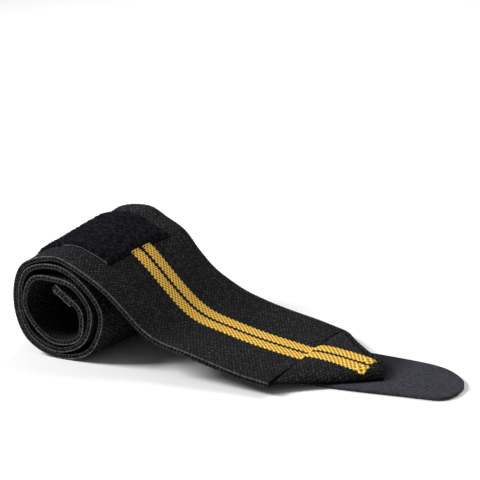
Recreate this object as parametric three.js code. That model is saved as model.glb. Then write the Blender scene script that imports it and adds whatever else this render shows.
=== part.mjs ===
// Wrist wrap, half unrolled: a roll of three turns, a slope down to a run, and a tapered tip with its tongue.
// Millimetres. +X runs along the band towards the tongue, +Y across it to the far edge, +Z up.
import * as THREE from 'three';

// Driving dimensions
const BAND_WIDTH = 80;
const BAND_THICKNESS = 1.8;
const TURN_GAP = 0.4; // least air between two turns of the roll
const TURN_SLACK = 4; // most air that a loose turn adds to that
const CORE_RADIUS = 15.8; // the innermost turn at its widest
const ROLL_FLARE = 8; // how far the outermost turn stands out at the far edge
const RUN_LENGTH = 97.5; // from the roll's axis to the crease before the tip
const HEM_LENGTH = 11;
const HEM_THICKNESS = 1.6; // the folded layer on the inner face of the band
const TIP_LENGTH = 36;
const TIP_HEIGHT = 4.6; // from the tongue to the crown of the doubled tip
const TONGUE_LENGTH = 68; // from its sewn root to its end
const TONGUE_ROOT = 3; // how far the root lies under the band before the crease
const TONGUE_WIDTH = 46.5;
const TONGUE_THICKNESS = 1.2;
const STRIPE_WIDTH = 6.65;
const STRIPE_GAP = 2.3; // ground between the two stripes
const STRIPE_THICKNESS = 0.6;
const STRIPE_SINK = 0.5; // depth of the shallow channel that a stripe lies in
const PATCH_WIDTH = 50;
const PATCH_THICKNESS = 1.3;
const LOOP_REACH = 41; // how far the thumb loop stands out beyond the far edge
const LOOP_SEWN = 18; // its sewn stretch along the hem
const LOOP_OPENING = 22; // its widest opening
const TAPE_WIDTH = 15;
const TAPE_THICKNESS = 1.5;
const CLEARANCE = 0.3; // between pieces that lie on each other
const CHANNEL_WALL = 0.15; // how far the wall of a stripe's channel leans
const EDGE_FACET = 3; // width of the facet along each edge of the band
const TIP_MARGIN = 0.5; // least ground between a stripe's channel and the tip's edge

// Steps and places, in knots of the band: an eighth of a turn or a row of the slope each
const PATCH_EIGHTHS = 3.25; // how far before the crest the patch starts
const CHANNEL_LEAD = 0.04; // from the end of the patch to the channels
const STRIPE_LEAD = 0.1; // from there to the stripes
const LOOP_KNOT = 0.5; // where the thumb loop is sewn
const TANGENT_STEP = 0.02; // half the stretch that a direction along the band is taken from
const ROLL_STEPS = 4; // stations to a knot of the roll
const SLOPE_STEPS = 3; // and of the slope
const TONGUE_STEPS = 24;
const LOOP_STEPS = 48;
const HEM_SLANT = 1.5; // length of the hem's end slope, as a share of HEM_THICKNESS
const LOOP_TAB = 0.15; // share of the thumb loop's length where its two tapes lie flat on each other

// Colours of the cloths
const CHARCOAL = 0x202024;
const AMBER = 0xe9a21b;
const FUZZY_BLACK = 0x1c1a20;
const SLATE = 0x34363e;

// The roll, an eighth of a turn a row, clockwise from the top as seen from the near edge.
// The innermost turn holds radii, as shares of CORE_RADIUS.
const innermostTurn = [
  { place: 'hem at the top', radius: 0.6 },
  { place: 'upper right, almost a chord', radius: 0.49 },
  { place: 'right', radius: 0.77 },
  { place: 'lower right', radius: 1 },
  { place: 'bottom', radius: 0.92 },
  { place: 'lower left', radius: 0.84 },
  { place: 'left', radius: 0.94 },
  { place: 'upper left', radius: 0.97 },
];
// Each later row holds the slack over the turn inside it, as a share of TURN_SLACK, and how far the far edge
// stands out of line with the near one, along X and up, as shares of ROLL_FLARE.
const outerTurns = [
  { place: 'second turn, over the hem', slack: 0.1, flareX: 0, flareUp: 0 },
  { place: 'upper right', slack: 0.95, flareX: 0, flareUp: 0 },
  { place: 'right', slack: 0.64, flareX: 0, flareUp: 0 },
  { place: 'lower right', slack: 0.07, flareX: 0, flareUp: 0 },
  { place: 'bottom', slack: 0.3, flareX: 0, flareUp: 0 },
  { place: 'lower left', slack: 0.5, flareX: 0, flareUp: 0 },
  { place: 'left', slack: 0.04, flareX: 0, flareUp: 0 },
  { place: 'upper left', slack: 0.45, flareX: 0, flareUp: 0 },
  { place: 'third turn, top', slack: 0.8, flareX: 0, flareUp: 0 },
  { place: 'upper right', slack: 0.4, flareX: 0.25, flareUp: 0 },
  { place: 'right', slack: 0.74, flareX: 0.85, flareUp: 0 },
  { place: 'lower right', slack: 0.6, flareX: 1.3, flareUp: 0.1 },
  { place: 'bottom, on the table', slack: 0.07, flareX: 1, flareUp: 0 },
  { place: 'lower left', slack: 0.1, flareX: 0.3, flareUp: 0 },
  { place: 'left', slack: 0.04, flareX: -0.3, flareUp: 0.28 },
  { place: 'upper left', slack: 0.12, flareX: -0.6, flareUp: 0.76 },
  { place: 'crest', slack: 0.32, flareX: -0.3, flareUp: 0.63 },
];
// The slope and the run. along is a share of RUN_LENGTH from the roll's axis. near and far are the heights of
// the two edges, as shares of the drop from the near edge's crest to the crease.
const slopeRows = [
  { place: 'shoulder', along: 0.08, near: 0.95, far: 1.015 },
  { place: 'end of the patch', along: 0.17, near: 0.845, far: 0.895 },
  { place: 'upper slope', along: 0.25, near: 0.73, far: 0.68 },
  { place: 'middle of the slope', along: 0.33, near: 0.575, far: 0.5 },
  { place: 'lower slope', along: 0.42, near: 0.385, far: 0.37 },
  { place: 'foot of the slope', along: 0.5, near: 0.285, far: 0.28 },
  { place: 'run', along: 0.62, near: 0.22, far: 0.19 },
  { place: 'run', along: 0.75, near: 0.145, far: 0.12 },
  { place: 'run', along: 0.88, near: 0.075, far: 0.06 },
  { place: 'crease', along: 1, near: 0.037, far: -0.008 },
];
// The tip beyond the crease. along is a share of TIP_LENGTH, across and stripes of BAND_WIDTH, stripes being the
// middle of the pair. lift, rim and crown are shares of TIP_HEIGHT: how far the near edge is lifted off the
// tongue, the thickness of the edges and the height of the top in the middle.
const tipRows = [
  {
    place: 'crease', nearAlong: 0, nearAcross: 0, farAlong: -0.06, farAcross: 1,
    stripes: 0.515, lift: 0.33, rim: 0.4, crown: 0.62,
  },
  {
    place: 'swell behind the seam', nearAlong: 0.055, nearAcross: 0.06, farAlong: 0, farAcross: 0.975,
    stripes: 0.51, lift: 0.3, rim: 0.38, crown: 0.93,
  },
  {
    place: 'first quarter', nearAlong: 0.2, nearAcross: 0.13, farAlong: 0.12, farAcross: 0.905,
    stripes: 0.503, lift: 0.23, rim: 0.37, crown: 1,
  },
  {
    place: 'middle', nearAlong: 0.41, nearAcross: 0.205, farAlong: 0.36, farAcross: 0.766,
    stripes: 0.487, lift: 0.1, rim: 0.37, crown: 0.96,
  },
  {
    place: 'end of the stripes', nearAlong: 0.79, nearAcross: 0.335, farAlong: 0.77, farAcross: 0.585,
    stripes: 0.442, lift: 0.05, rim: 0.36, crown: 0.85,
  },
  {
    place: 'before the end', nearAlong: 0.91, nearAcross: 0.385, farAlong: 0.83, farAcross: 0.565,
    stripes: 0.452, lift: 0.04, rim: 0.34, crown: 0.68,
  },
  {
    place: 'blunt end', nearAlong: 0.97, nearAcross: 0.41, farAlong: 0.87, farAcross: 0.552,
    stripes: 0.462, lift: 0.04, rim: 0.32, crown: 0.46,
  },
];
// The tongue's plan. along is a share of TONGUE_LENGTH from its root, near and far are the edges' distances from
// the band's middle line, as shares of half TONGUE_WIDTH.
const tongueRows = [
  { place: 'root', along: 0, near: 1.03, far: 0.98 },
  { place: 'past the tip', along: 0.43, near: 0.9, far: 0.96 },
  { place: 'middle', along: 0.71, near: 0.77, far: 0.88 },
  { place: 'far corner begins', along: 0.83, near: 0.72, far: 0.74 },
  { place: 'near corner begins', along: 0.92, near: 0.67, far: 0.5 },
  { place: 'end curve', along: 0.97, near: 0.54, far: 0.29 },
  { place: 'end', along: 1, near: 0.28, far: 0.03 },
];
// The thumb loop's free tape. along is a share of the loop's whole length from its sewn end, away is how far it
// stands off the hem, as a share of LOOP_OPENING.
const loopRows = [
  { place: 'upper tape leaves the hem', along: 0.3, away: 0 },
  { place: 'upper tape', along: 0.5, away: 0.06 },
  { place: 'upper tape', along: 0.75, away: 0.2 },
  { place: 'upper turn', along: 0.94, away: 0.42 },
  { place: 'end', along: 1, away: 0.68 },
  { place: 'lower turn', along: 0.93, away: 0.94 },
  { place: 'lower tape', along: 0.76, away: 1 },
  { place: 'lower tape', along: 0.56, away: 0.66 },
  { place: 'lower tape leaves the hem', along: 0.36, away: 0.14 },
];

// Worked-out sizes
const EIGHTH_TURN = Math.PI / 4;
const TURN_ROWS = innermostTurn.length;
const CREASE_HEIGHT = TONGUE_THICKNESS + CLEARANCE + BAND_THICKNESS / 2;
const TIP_UNDERSIDE = TONGUE_THICKNESS + CLEARANCE;
const PATCH_END_ROW = 'end of the patch';
const STRIPES_END_ROW = 'end of the stripes';

// Radii of the near edge's centre line, each later turn lying on the one inside it.
function rollRadii() {
  const radii = innermostTurn.map((row) => row.radius * CORE_RADIUS);
  outerTurns.forEach((row, index) => {
    radii.push(radii[index] + BAND_THICKNESS + TURN_GAP + row.slack * TURN_SLACK);
  });
  return radii;
}

const radii = rollRadii();
const BOTTOM_ROW = radii.length - 1 - TURN_ROWS / 2;
const AXIS_HEIGHT = radii[BOTTOM_ROW] + BAND_THICKNESS / 2;
const CREST_HEIGHT = AXIS_HEIGHT + radii[radii.length - 1];

// Knots of one edge of the band's centre surface, far = 0 for the near edge and 1 for the far one.
function edgeKnots(far) {
  const knots = radii.map((radius, index) => {
    const { flareX, flareUp } = outerTurns[index - TURN_ROWS] ?? { flareX: 0, flareUp: 0 };
    const angle = index * EIGHTH_TURN;
    const x = -RUN_LENGTH + radius * Math.sin(angle) + far * flareX * ROLL_FLARE;
    const z = AXIS_HEIGHT + radius * Math.cos(angle) + far * flareUp * ROLL_FLARE;
    return new THREE.Vector3(x, far * BAND_WIDTH, z);
  });
  slopeRows.forEach((row) => {
    const share = THREE.MathUtils.lerp(row.near, row.far, far);
    const height = CREASE_HEIGHT + share * (CREST_HEIGHT - CREASE_HEIGHT);
    const x = (row.along - 1) * RUN_LENGTH + far * row.along * tipRows[0].farAlong * TIP_LENGTH;
    knots.push(new THREE.Vector3(x, far * BAND_WIDTH, height));
  });
  return knots;
}

const nearCurve = new THREE.CatmullRomCurve3(edgeKnots(0), false, 'centripetal');
const farCurve = new THREE.CatmullRomCurve3(edgeKnots(1), false, 'centripetal');
const LAST_KNOT = nearCurve.points.length - 1;
const PATCH_END = radii.length + slopeRows.findIndex((row) => row.place === PATCH_END_ROW);
const CHANNEL_START = PATCH_END + CHANNEL_LEAD;
const PATCH_START = radii.length - 1 - PATCH_EIGHTHS;

// A point of the band's centre surface, at a knot number along it and a distance across it from the near edge.
function bandCentre(knot, across) {
  const share = THREE.MathUtils.clamp(knot / LAST_KNOT, 0, 1);
  return nearCurve.getPoint(share).lerp(farCurve.getPoint(share), across / BAND_WIDTH);
}

// The way out of the band's outer face there.
function bandNormal(knot, across) {
  const along = bandCentre(knot + TANGENT_STEP, across).sub(bandCentre(knot - TANGENT_STEP, across));
  const over = bandCentre(knot, BAND_WIDTH).sub(bandCentre(knot, 0));
  return along.cross(over).normalize();
}

// A point at a height over the band's centre surface.
function overBand(knot, across, height) {
  return bandCentre(knot, across).addScaledVector(bandNormal(knot, across), height);
}

// Evenly spaced numbers from start to end.
function spaced(start, end, steps) {
  return Array.from({ length: steps + 1 }, (unused, index) => start + ((end - start) * index) / steps);
}

// A closed solid between two grids of points of the same size. Rows follow +X, columns +Y, upper lies on the
// side that X cross Y points to.
function slab(upper, lower) {
  const rows = upper.length;
  const columns = upper[0].length;
  const positions = [...upper.flat(), ...lower.flat()].flatMap((point) => point.toArray());
  const lowerStart = rows * columns;
  const at = (row, column) => row * columns + column;
  const indices = [];
  const quad = (a, b, c, d) => indices.push(a, b, c, a, c, d);
  for (let row = 0; row < rows - 1; row += 1) {
    for (let column = 0; column < columns - 1; column += 1) {
      const corners = [at(row, column), at(row + 1, column), at(row + 1, column + 1), at(row, column + 1)];
      quad(...corners);
      quad(...corners.map((corner) => corner + lowerStart).reverse());
    }
  }
  const wall = (from, to) => quad(from, to, to + lowerStart, from + lowerStart);
  for (let row = 0; row < rows - 1; row += 1) {
    wall(at(row + 1, 0), at(row, 0));
    wall(at(row, columns - 1), at(row + 1, columns - 1));
  }
  for (let column = 0; column < columns - 1; column += 1) {
    wall(at(0, column), at(0, column + 1));
    wall(at(rows - 1, column + 1), at(rows - 1, column));
  }
  const geometry = new THREE.BufferGeometry();
  geometry.setAttribute('position', new THREE.Float32BufferAttribute(positions, 3));
  geometry.setIndex(indices);
  return geometry;
}

// The middles of the two stripes, and the channels that they lie in, with CLEARANCE at each side.
const PAIR_MIDDLE = tipRows[0].stripes * BAND_WIDTH;
const stripeMiddles = [-0.5, 0.5].map((side) => PAIR_MIDDLE + side * (STRIPE_WIDTH + STRIPE_GAP));
const channels = stripeMiddles.map((middle) => ({
  near: middle - STRIPE_WIDTH / 2 - CLEARANCE,
  far: middle + STRIPE_WIDTH / 2 + CLEARANCE,
}));

// Stations across the band: a facet along each edge, and the walls of the two stripe channels.
function bandColumns() {
  const ground = (across) => ({ across, sunk: false });
  const bed = (across) => ({ across, sunk: true });
  const walls = channels.flatMap(({ near, far }) => [
    ground(near - CHANNEL_WALL), bed(near), bed(far), ground(far + CHANNEL_WALL),
  ]);
  return [
    ground(0),
    ground(EDGE_FACET),
    ground(channels[0].near / 2),
    ...walls,
    ground((channels[1].far + BAND_WIDTH) / 2),
    ground(BAND_WIDTH - EDGE_FACET),
    ground(BAND_WIDTH),
  ];
}

// Stations along the band.
function bandStations() {
  const crest = radii.length - 1;
  const roll = spaced(0, crest, crest * ROLL_STEPS);
  const slope = spaced(crest, LAST_KNOT, slopeRows.length * SLOPE_STEPS).slice(1);
  return [...roll, ...slope, CHANNEL_START].sort((one, other) => one - other);
}

// How far the folded hem stands in from the band's inner face.
function hemDepth(knot) {
  const walked = bandCentre(0, 0).distanceTo(bandCentre(knot, 0));
  if (knot > TURN_ROWS / 2 || walked > HEM_LENGTH) {
    return 0;
  }
  const fade = Math.min(1, (HEM_LENGTH - walked) / (HEM_THICKNESS * HEM_SLANT));
  return HEM_THICKNESS * fade;
}

// A point of the tip, across being a share from its near edge to its far one.
function tipPoint(row, share, height) {
  const x = THREE.MathUtils.lerp(row.nearAlong, row.farAlong, share) * TIP_LENGTH;
  const y = THREE.MathUtils.lerp(row.nearAcross, row.farAcross, share) * BAND_WIDTH;
  return new THREE.Vector3(x, y, height);
}

// The tip's underside lies on the tongue and lifts towards its near edge.
function tipUnderside(row, share) {
  return TIP_UNDERSIDE + TIP_HEIGHT * row.lift * (1 - share) ** 2;
}

// Its top is highest in the middle and rounded down to the edges.
function tipTop(row, share) {
  const bulge = Math.sqrt(Math.max(0, 1 - (2 * share - 1) ** 2));
  const edge = row.rim + row.lift * (1 - share);
  return TIP_UNDERSIDE + TIP_HEIGHT * THREE.MathUtils.lerp(edge, Math.max(edge, row.crown), bulge);
}

// Where a line of the band goes on in the tip. The stripes keep their width beside the drifting middle of the
// pair, and the ground outside them is squeezed in.
function tipShare(row, across) {
  const near = row.nearAcross * BAND_WIDTH;
  const far = row.farAcross * BAND_WIDTH;
  const half = channels[1].far - PAIR_MIDDLE + TIP_MARGIN;
  const middle = row.stripes * BAND_WIDTH;
  const inner = Math.max(near + TIP_MARGIN, middle - half);
  const outer = Math.min(far - TIP_MARGIN, middle + half);
  let y = THREE.MathUtils.mapLinear(across, PAIR_MIDDLE - half, PAIR_MIDDLE + half, inner, outer);
  if (across < PAIR_MIDDLE - half) {
    y = THREE.MathUtils.mapLinear(across, 0, PAIR_MIDDLE - half, near, inner);
  } else if (across > PAIR_MIDDLE + half) {
    y = THREE.MathUtils.mapLinear(across, PAIR_MIDDLE + half, BAND_WIDTH, outer, far);
  }
  return (y - near) / (far - near);
}

function elasticBand() {
  const columns = bandColumns();
  const upper = [];
  const lower = [];
  bandStations().forEach((knot) => {
    const sunk = knot >= CHANNEL_START;
    upper.push(columns.map(({ across, sunk: inChannel }) => {
      const sink = sunk && inChannel ? STRIPE_SINK : 0;
      return overBand(knot, across, BAND_THICKNESS / 2 - sink);
    }));
    lower.push(columns.map(({ across }) => overBand(knot, across, -BAND_THICKNESS / 2 - hemDepth(knot))));
  });
  tipRows.slice(1).forEach((row) => {
    upper.push(columns.map(({ across, sunk }) => {
      const share = tipShare(row, across);
      return tipPoint(row, share, tipTop(row, share) - (sunk ? STRIPE_SINK : 0));
    }));
    lower.push(columns.map(({ across }) => {
      const share = tipShare(row, across);
      return tipPoint(row, share, tipUnderside(row, share));
    }));
  });
  return slab(upper, lower);
}

// A stripe lies in its channel from the patch to its end on the tip.
function stripe(middle) {
  const acrosses = [middle - STRIPE_WIDTH / 2, middle, middle + STRIPE_WIDTH / 2];
  const bed = BAND_THICKNESS / 2 - STRIPE_SINK + CLEARANCE;
  const upper = [];
  const lower = [];
  const start = CHANNEL_START + STRIPE_LEAD;
  [start, ...bandStations().filter((knot) => knot > start)].forEach((knot) => {
    upper.push(acrosses.map((across) => overBand(knot, across, bed + STRIPE_THICKNESS)));
    lower.push(acrosses.map((across) => overBand(knot, across, bed)));
  });
  const lastRow = tipRows.findIndex((row) => row.place === STRIPES_END_ROW);
  tipRows.slice(1, lastRow + 1).forEach((row) => {
    const rise = (across, height) => {
      const share = tipShare(row, across);
      return tipPoint(row, share, tipTop(row, share) - STRIPE_SINK + height);
    };
    upper.push(acrosses.map((across) => rise(across, CLEARANCE + STRIPE_THICKNESS)));
    lower.push(acrosses.map((across) => rise(across, CLEARANCE)));
  });
  return slab(upper, lower);
}

function loopPatch() {
  const acrosses = spaced((BAND_WIDTH - PATCH_WIDTH) / 2, (BAND_WIDTH + PATCH_WIDTH) / 2, 2);
  const stations = bandStations().filter((knot) => knot >= PATCH_START && knot <= PATCH_END);
  const bed = BAND_THICKNESS / 2 + CLEARANCE;
  const face = (height) => stations.map((knot) => acrosses.map((across) => overBand(knot, across, height)));
  return slab(face(bed + PATCH_THICKNESS), face(bed));
}

// The tongue, flat on the table, with the curved end from its table.
function hookTongue() {
  const middle = BAND_WIDTH / 2;
  const edge = (side) => new THREE.CatmullRomCurve3(
    tongueRows.map((row) => new THREE.Vector3(
      row.along * TONGUE_LENGTH - TONGUE_ROOT,
      middle + (side * row[side < 0 ? 'near' : 'far'] * TONGUE_WIDTH) / 2,
      0,
    )),
    false,
    'centripetal',
  );
  const near = edge(-1).getPoints(TONGUE_STEPS);
  const far = edge(1).getPoints(TONGUE_STEPS);
  const face = (height) => near.map((point, index) => spaced(0, 1, 2).map((share) => {
    const across = point.clone().lerp(far[index], share);
    return across.setZ(height);
  }));
  return slab(face(TONGUE_THICKNESS), face(0));
}

// The thumb loop: tape in a drooping teardrop, both ends sewn to the inner face of the hem.
function thumbLoop() {
  const length = LOOP_SEWN + LOOP_REACH;
  const half = TAPE_THICKNESS / 2;
  const layer = half + CLEARANCE / 2; // from the middle of the sewn stack to the middle of each tape
  const start = [new THREE.Vector2(half, -layer), new THREE.Vector2(length * LOOP_TAB, -layer)];
  const end = [new THREE.Vector2(length * LOOP_TAB, layer), new THREE.Vector2(half, layer)];
  const free = loopRows.map((row) => new THREE.Vector2(
    row.along * length,
    -layer + row.away * LOOP_OPENING + (row === loopRows[loopRows.length - 1] ? layer : 0),
  ));
  const path = new THREE.SplineCurve([...start, ...free, ...end]);
  const side = (offset) => spaced(0, 1, LOOP_STEPS).map((share) => {
    const point = path.getPoint(share);
    const tangent = path.getTangent(share);
    return point.add(new THREE.Vector2(tangent.y, -tangent.x).multiplyScalar(offset));
  });
  const outline = new THREE.Shape([
    new THREE.Vector2(-half, -layer - half),
    ...side(half),
    new THREE.Vector2(-half, layer + half),
  ]);
  outline.holes.push(new THREE.Path(side(-half)));
  const geometry = new THREE.ExtrudeGeometry(outline, { depth: TAPE_WIDTH, bevelEnabled: false, steps: 1 });
  // The outline's x follows the band's width, its y leads away from the hem, and the tape's width lies along it.
  const over = new THREE.Vector3(0, 1, 0);
  const inward = bandNormal(LOOP_KNOT, BAND_WIDTH / 2).negate();
  const along = over.clone().cross(inward).normalize();
  const basis = new THREE.Matrix4().makeBasis(over, inward, along);
  geometry.translate(0, 0, -TAPE_WIDTH / 2);
  geometry.applyMatrix4(basis);
  const depth = BAND_THICKNESS / 2 + HEM_THICKNESS + CLEARANCE + half + layer;
  const seat = bandCentre(LOOP_KNOT, BAND_WIDTH - LOOP_SEWN).addScaledVector(inward, depth);
  geometry.translate(seat.x, seat.y, seat.z);
  return geometry;
}

// Cloth of one colour
function cloth(color, roughness) {
  return new THREE.MeshStandardMaterial({ color, roughness, metalness: 0, flatShading: true });
}

function piece(name, geometry, material) {
  const mesh = new THREE.Mesh(geometry, material);
  mesh.name = name;
  return mesh;
}

const wrap = new THREE.Group();
wrap.add(
  piece('elastic_band', elasticBand(), cloth(CHARCOAL, 0.9)),
  piece('stripe_near', stripe(stripeMiddles[0]), cloth(AMBER, 0.75)),
  piece('stripe_far', stripe(stripeMiddles[1]), cloth(AMBER, 0.75)),
  piece('loop_patch', loopPatch(), cloth(FUZZY_BLACK, 1)),
  piece('hook_tongue', hookTongue(), cloth(SLATE, 0.7)),
  piece('thumb_loop', thumbLoop(), cloth(SLATE, 0.8)),
);

// The origin is the middle of the footprint, on the table.
const box = new THREE.Box3().setFromObject(wrap);
const boxMiddle = box.getCenter(new THREE.Vector3());
wrap.position.set(-boxMiddle.x, -boxMiddle.y, -box.min.z);

export default wrap;
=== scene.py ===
"""Wrist wrap, half unrolled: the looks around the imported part.

Metres, +X along the band, +Y across it, +Z up.
"""
import math

import bpy
import numpy as np
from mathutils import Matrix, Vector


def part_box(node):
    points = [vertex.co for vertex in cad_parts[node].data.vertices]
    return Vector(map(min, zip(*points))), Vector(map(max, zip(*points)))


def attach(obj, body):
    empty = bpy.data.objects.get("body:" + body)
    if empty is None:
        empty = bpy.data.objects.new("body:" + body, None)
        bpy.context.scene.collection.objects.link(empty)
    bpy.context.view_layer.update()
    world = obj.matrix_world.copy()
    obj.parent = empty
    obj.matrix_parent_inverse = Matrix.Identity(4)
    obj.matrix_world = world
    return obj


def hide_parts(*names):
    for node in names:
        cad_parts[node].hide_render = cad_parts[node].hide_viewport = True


bl_info = {
    "name": "Wrist wrap",
    "version": (1, 0, 0),
    "blender": (4, 5, 0),
    "location": "3D View > Sidebar > Wrist wrap",
    "description": "Builds the woven band, stripes, patch, tongue, thumb loop and stitching of a wrist wrap",
    "category": "Add Mesh",
}

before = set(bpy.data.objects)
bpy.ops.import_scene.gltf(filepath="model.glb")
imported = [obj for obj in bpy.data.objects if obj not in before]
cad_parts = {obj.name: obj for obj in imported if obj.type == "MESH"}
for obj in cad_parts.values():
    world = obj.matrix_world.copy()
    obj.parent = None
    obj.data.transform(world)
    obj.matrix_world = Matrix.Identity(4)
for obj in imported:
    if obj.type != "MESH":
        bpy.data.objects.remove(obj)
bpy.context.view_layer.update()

MM = 0.001
BODY = "root"

# The tables of the form, as in the part. The roll has an eighth of a turn a row, clockwise from the top as
# seen from the near edge. Radii are shares of CORE_RADIUS, slack of TURN_SLACK and flares of ROLL_FLARE.
CORE_RADIUS = 15.8 * MM
TURN_GAP = 0.4 * MM
TURN_SLACK = 4 * MM
ROLL_FLARE = 8 * MM
RUN_LENGTH = 97.5 * MM
TIP_LENGTH = 36 * MM
TIP_HEIGHT = 4.6 * MM
CLEARANCE = 0.3 * MM
INNERMOST_TURN = (0.6, 0.49, 0.77, 1, 0.92, 0.84, 0.94, 0.97)
OUTER_TURNS = (  # slack, flare along X, flare up
    (0.1, 0, 0), (0.95, 0, 0), (0.64, 0, 0), (0.07, 0, 0), (0.3, 0, 0), (0.5, 0, 0), (0.04, 0, 0),
    (0.45, 0, 0), (0.8, 0, 0), (0.4, 0.25, 0), (0.74, 0.85, 0), (0.6, 1.3, 0.1), (0.07, 1, 0),
    (0.1, 0.3, 0), (0.04, -0.3, 0.28), (0.12, -0.6, 0.76), (0.32, -0.3, 0.63),
)
SLOPE = (  # share of RUN_LENGTH, near and far heights as shares of the drop to the crease, share of ARCH
    (0.08, 0.95, 1.015, 0.6), (0.17, 0.845, 0.895, 1), (0.25, 0.73, 0.68, 0.95), (0.33, 0.575, 0.5, 0.35),
    (0.42, 0.385, 0.37, -0.45), (0.5, 0.285, 0.28, -0.8), (0.62, 0.22, 0.19, -0.75),
    (0.75, 0.145, 0.12, -0.65), (0.88, 0.075, 0.06, -0.3), (1, 0.037, -0.008, 0),
)
ARCH = 1.6 * MM  # how far the middle of the band stands above the line between its edges
NEAR_ALONG, NEAR_ACROSS, FAR_ALONG, FAR_ACROSS, PAIR_MIDDLE, LIFT, RIM, CROWN = range(8)  # the columns of TIP
TIP = (  # plan as shares of TIP_LENGTH and the band's width, lift, rim and crown as shares of TIP_HEIGHT
    (0, 0, -0.06, 1, 0.515, 0.33, 0.4, 0.62),
    (0.055, 0.06, 0, 0.975, 0.51, 0.3, 0.38, 0.93),
    (0.2, 0.13, 0.12, 0.905, 0.503, 0.23, 0.37, 1),
    (0.41, 0.205, 0.36, 0.766, 0.487, 0.1, 0.37, 0.96),
    (0.79, 0.335, 0.77, 0.585, 0.442, 0.05, 0.36, 0.85),
    (0.91, 0.385, 0.83, 0.565, 0.452, 0.04, 0.34, 0.68),
    (0.97, 0.41, 0.87, 0.552, 0.462, 0.04, 0.32, 0.46),
)
TIP_FAR_RISE = (-0.14, -0.09, 0.16, 0.28, 0.2, 0.05, 0)  # the far rim's extra height, a share of TIP_HEIGHT
STRIPES_END = 4.0  # the row of TIP where the stripes end
TIP_CLOTH_START = 0.5  # metres along the cloth where the tip's own part of it starts, past the band's
TONGUE = (  # share of TONGUE_LENGTH, near and far edges as shares of half TONGUE_WIDTH
    (0, 1.03, 0.98), (0.43, 0.9, 0.96), (0.71, 0.77, 0.88), (0.83, 0.72, 0.74), (0.92, 0.67, 0.5),
    (0.97, 0.54, 0.29), (1, 0.28, 0.03),
)
TONGUE_LENGTH = 68 * MM
TONGUE_ROOT = 3 * MM
TONGUE_WIDTH = 46.5 * MM
TONGUE_MIDDLE = 40 * MM  # across the band
THUMB_LOOP = (  # shares of the loop's whole length and of its opening
    (0.3, 0), (0.5, 0.06), (0.75, 0.2), (0.94, 0.42), (1, 0.68), (0.93, 0.94), (0.76, 1), (0.56, 0.66),
    (0.36, 0.14),
)
LOOP_REACH = 41 * MM
LOOP_SEWN = 18 * MM
LOOP_OPENING = 22 * MM
LOOP_PARTING = 0.15  # where the tape's two layers part, a share of the loop's whole length
HEM_LENGTH = 11 * MM
HEM_THICKNESS = 1.6 * MM

# Small forms that only the looks have: the band and its yarns.
EDGE_ROUNDING = 0.7  # radius of the band's edges, a share of half its thickness
BEAD_SUNK = 0.3  # how deep the selvedge yarns sit in the band's faces, a share of their radius
BEAD_INSET = 0.7  # how far inside the band's edges they run, a share of their radius
HEM_ROUND = 1.7 * MM  # radius of the hem's folded end
HEM_BULB = 0.45  # how much the folded end swells, a share of HEM_THICKNESS
HEM_BULB_PLACE = 2 * MM
HEM_BULB_WIDTH = 1.6 * MM
HEM_STEP = 1.2 * MM  # length over which the hem's turned-in edge slopes down to the band
SEAM_REACH = 1.1 * MM  # length over which the band is pulled in at the crease
SEAM_PULL = 0.7  # how far it is pulled in, a share of its thickness
SEAM_RUN_OUT = 5 * MM  # length before the far edge over which the pull runs out
FLOAT_STRETCH = 1.8  # distance between the weave's floats across the band, a share of that along it

# The stripes and the channels that they lie in.
STRIPE_SINK = 0.3 * MM  # depth of the band's channel under a stripe
CHANNEL_MARGIN = 0.4 * MM  # width of the slopes at the channel's sides
STRIPE_BURIED = 0.32 * MM  # how far a stripe's underside lies below the band's outer face
STRIPE_BODY = 0.45 * MM  # thickness of a stripe between its scales
TIP_STRIPE_BURIED = 0.5 * MM  # how far its underside lies below the top of the tip
TIP_STRIPE_BODY = 0.72 * MM  # its thickness between the scales there
SCALE_HEIGHT = 0.3 * MM
SCALES_ABREAST = 3  # how many scales fit across a stripe
KNOTTED = 5 * MM  # length of the stripes' sewn ends
KNOT_SPREAD = 1.5  # size of the sewn ends' knots, a share of the scales' size
KNOT_RISE = 0.15 * MM  # how much higher the knots stand than the scales

# The tip, with a welt along its far edge and a groove beside it that holds a row of stitches.
TIP_ROUND = 1.7 * MM  # radius of the folded edges
TIP_SEAM_PULL = 0.75  # how far the tip is pulled in at the crease, a share of its thickness
TIP_PAINTED_SHADE_EDGE = 4 * MM  # width of the painted shade along the near edge
TIP_MARGIN = 1.3 * MM  # cloth left beside the near stripe at the near edge
PUCKER_HEIGHT = 0.2 * MM
PUCKER_PITCH = 5.5 * MM
WELT_HEIGHT = 0.3 * MM
WELT_INSET = 1.6 * MM
WELT_WIDTH = 1.2 * MM
GROOVE_DEPTH = 1.5 * MM
GROOVE_INSET = 4.2 * MM
GROOVE_WIDTH = 0.9 * MM

# The patch's pile.
PILE_EDGE = 3.2 * MM  # width of the patch's edge, where the pile thins out
PILE_HEAP = 0.16 * MM  # how unevenly the pile lies, one standard deviation
PILE_HEAP_LIMIT = 0.4 * MM
PILE_WAVES = (1.1 * MM, 5 * MM)  # shortest and longest wave of the heap
PILE_THREAD = 0.11 * MM  # radius of the pile's thread
PILE_LOOP_RADII = (0.35 * MM, 0.75 * MM)  # smallest and largest loop
PILE_LOOP_SUNK = (0.3 * MM, 0.7 * MM)  # how deep the loops' middles lie in the pile

# The seams.
STITCH_SPACING = 1.35  # from one stitch to the next, a share of a stitch's length
PATCH_SEAM_INSET = 1.4 * MM
HEM_SEAM_INSET = 1.8 * MM
# the crease cord is a near-black cord put in the crease as painted shade
CREASE_CORD_RADIUS = 0.5 * MM
CREASE_CORD_PITCH = 2.6 * MM
CREASE_CORD_WANDER = 0.25 * MM
PATCH_CORD_RADIUS = 0.34 * MM
PATCH_CORD_PLACE = 1.75 * MM  # past the end of the patch's rows of stitches
PATCH_YARN_RADIUS = 0.3 * MM

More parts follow.
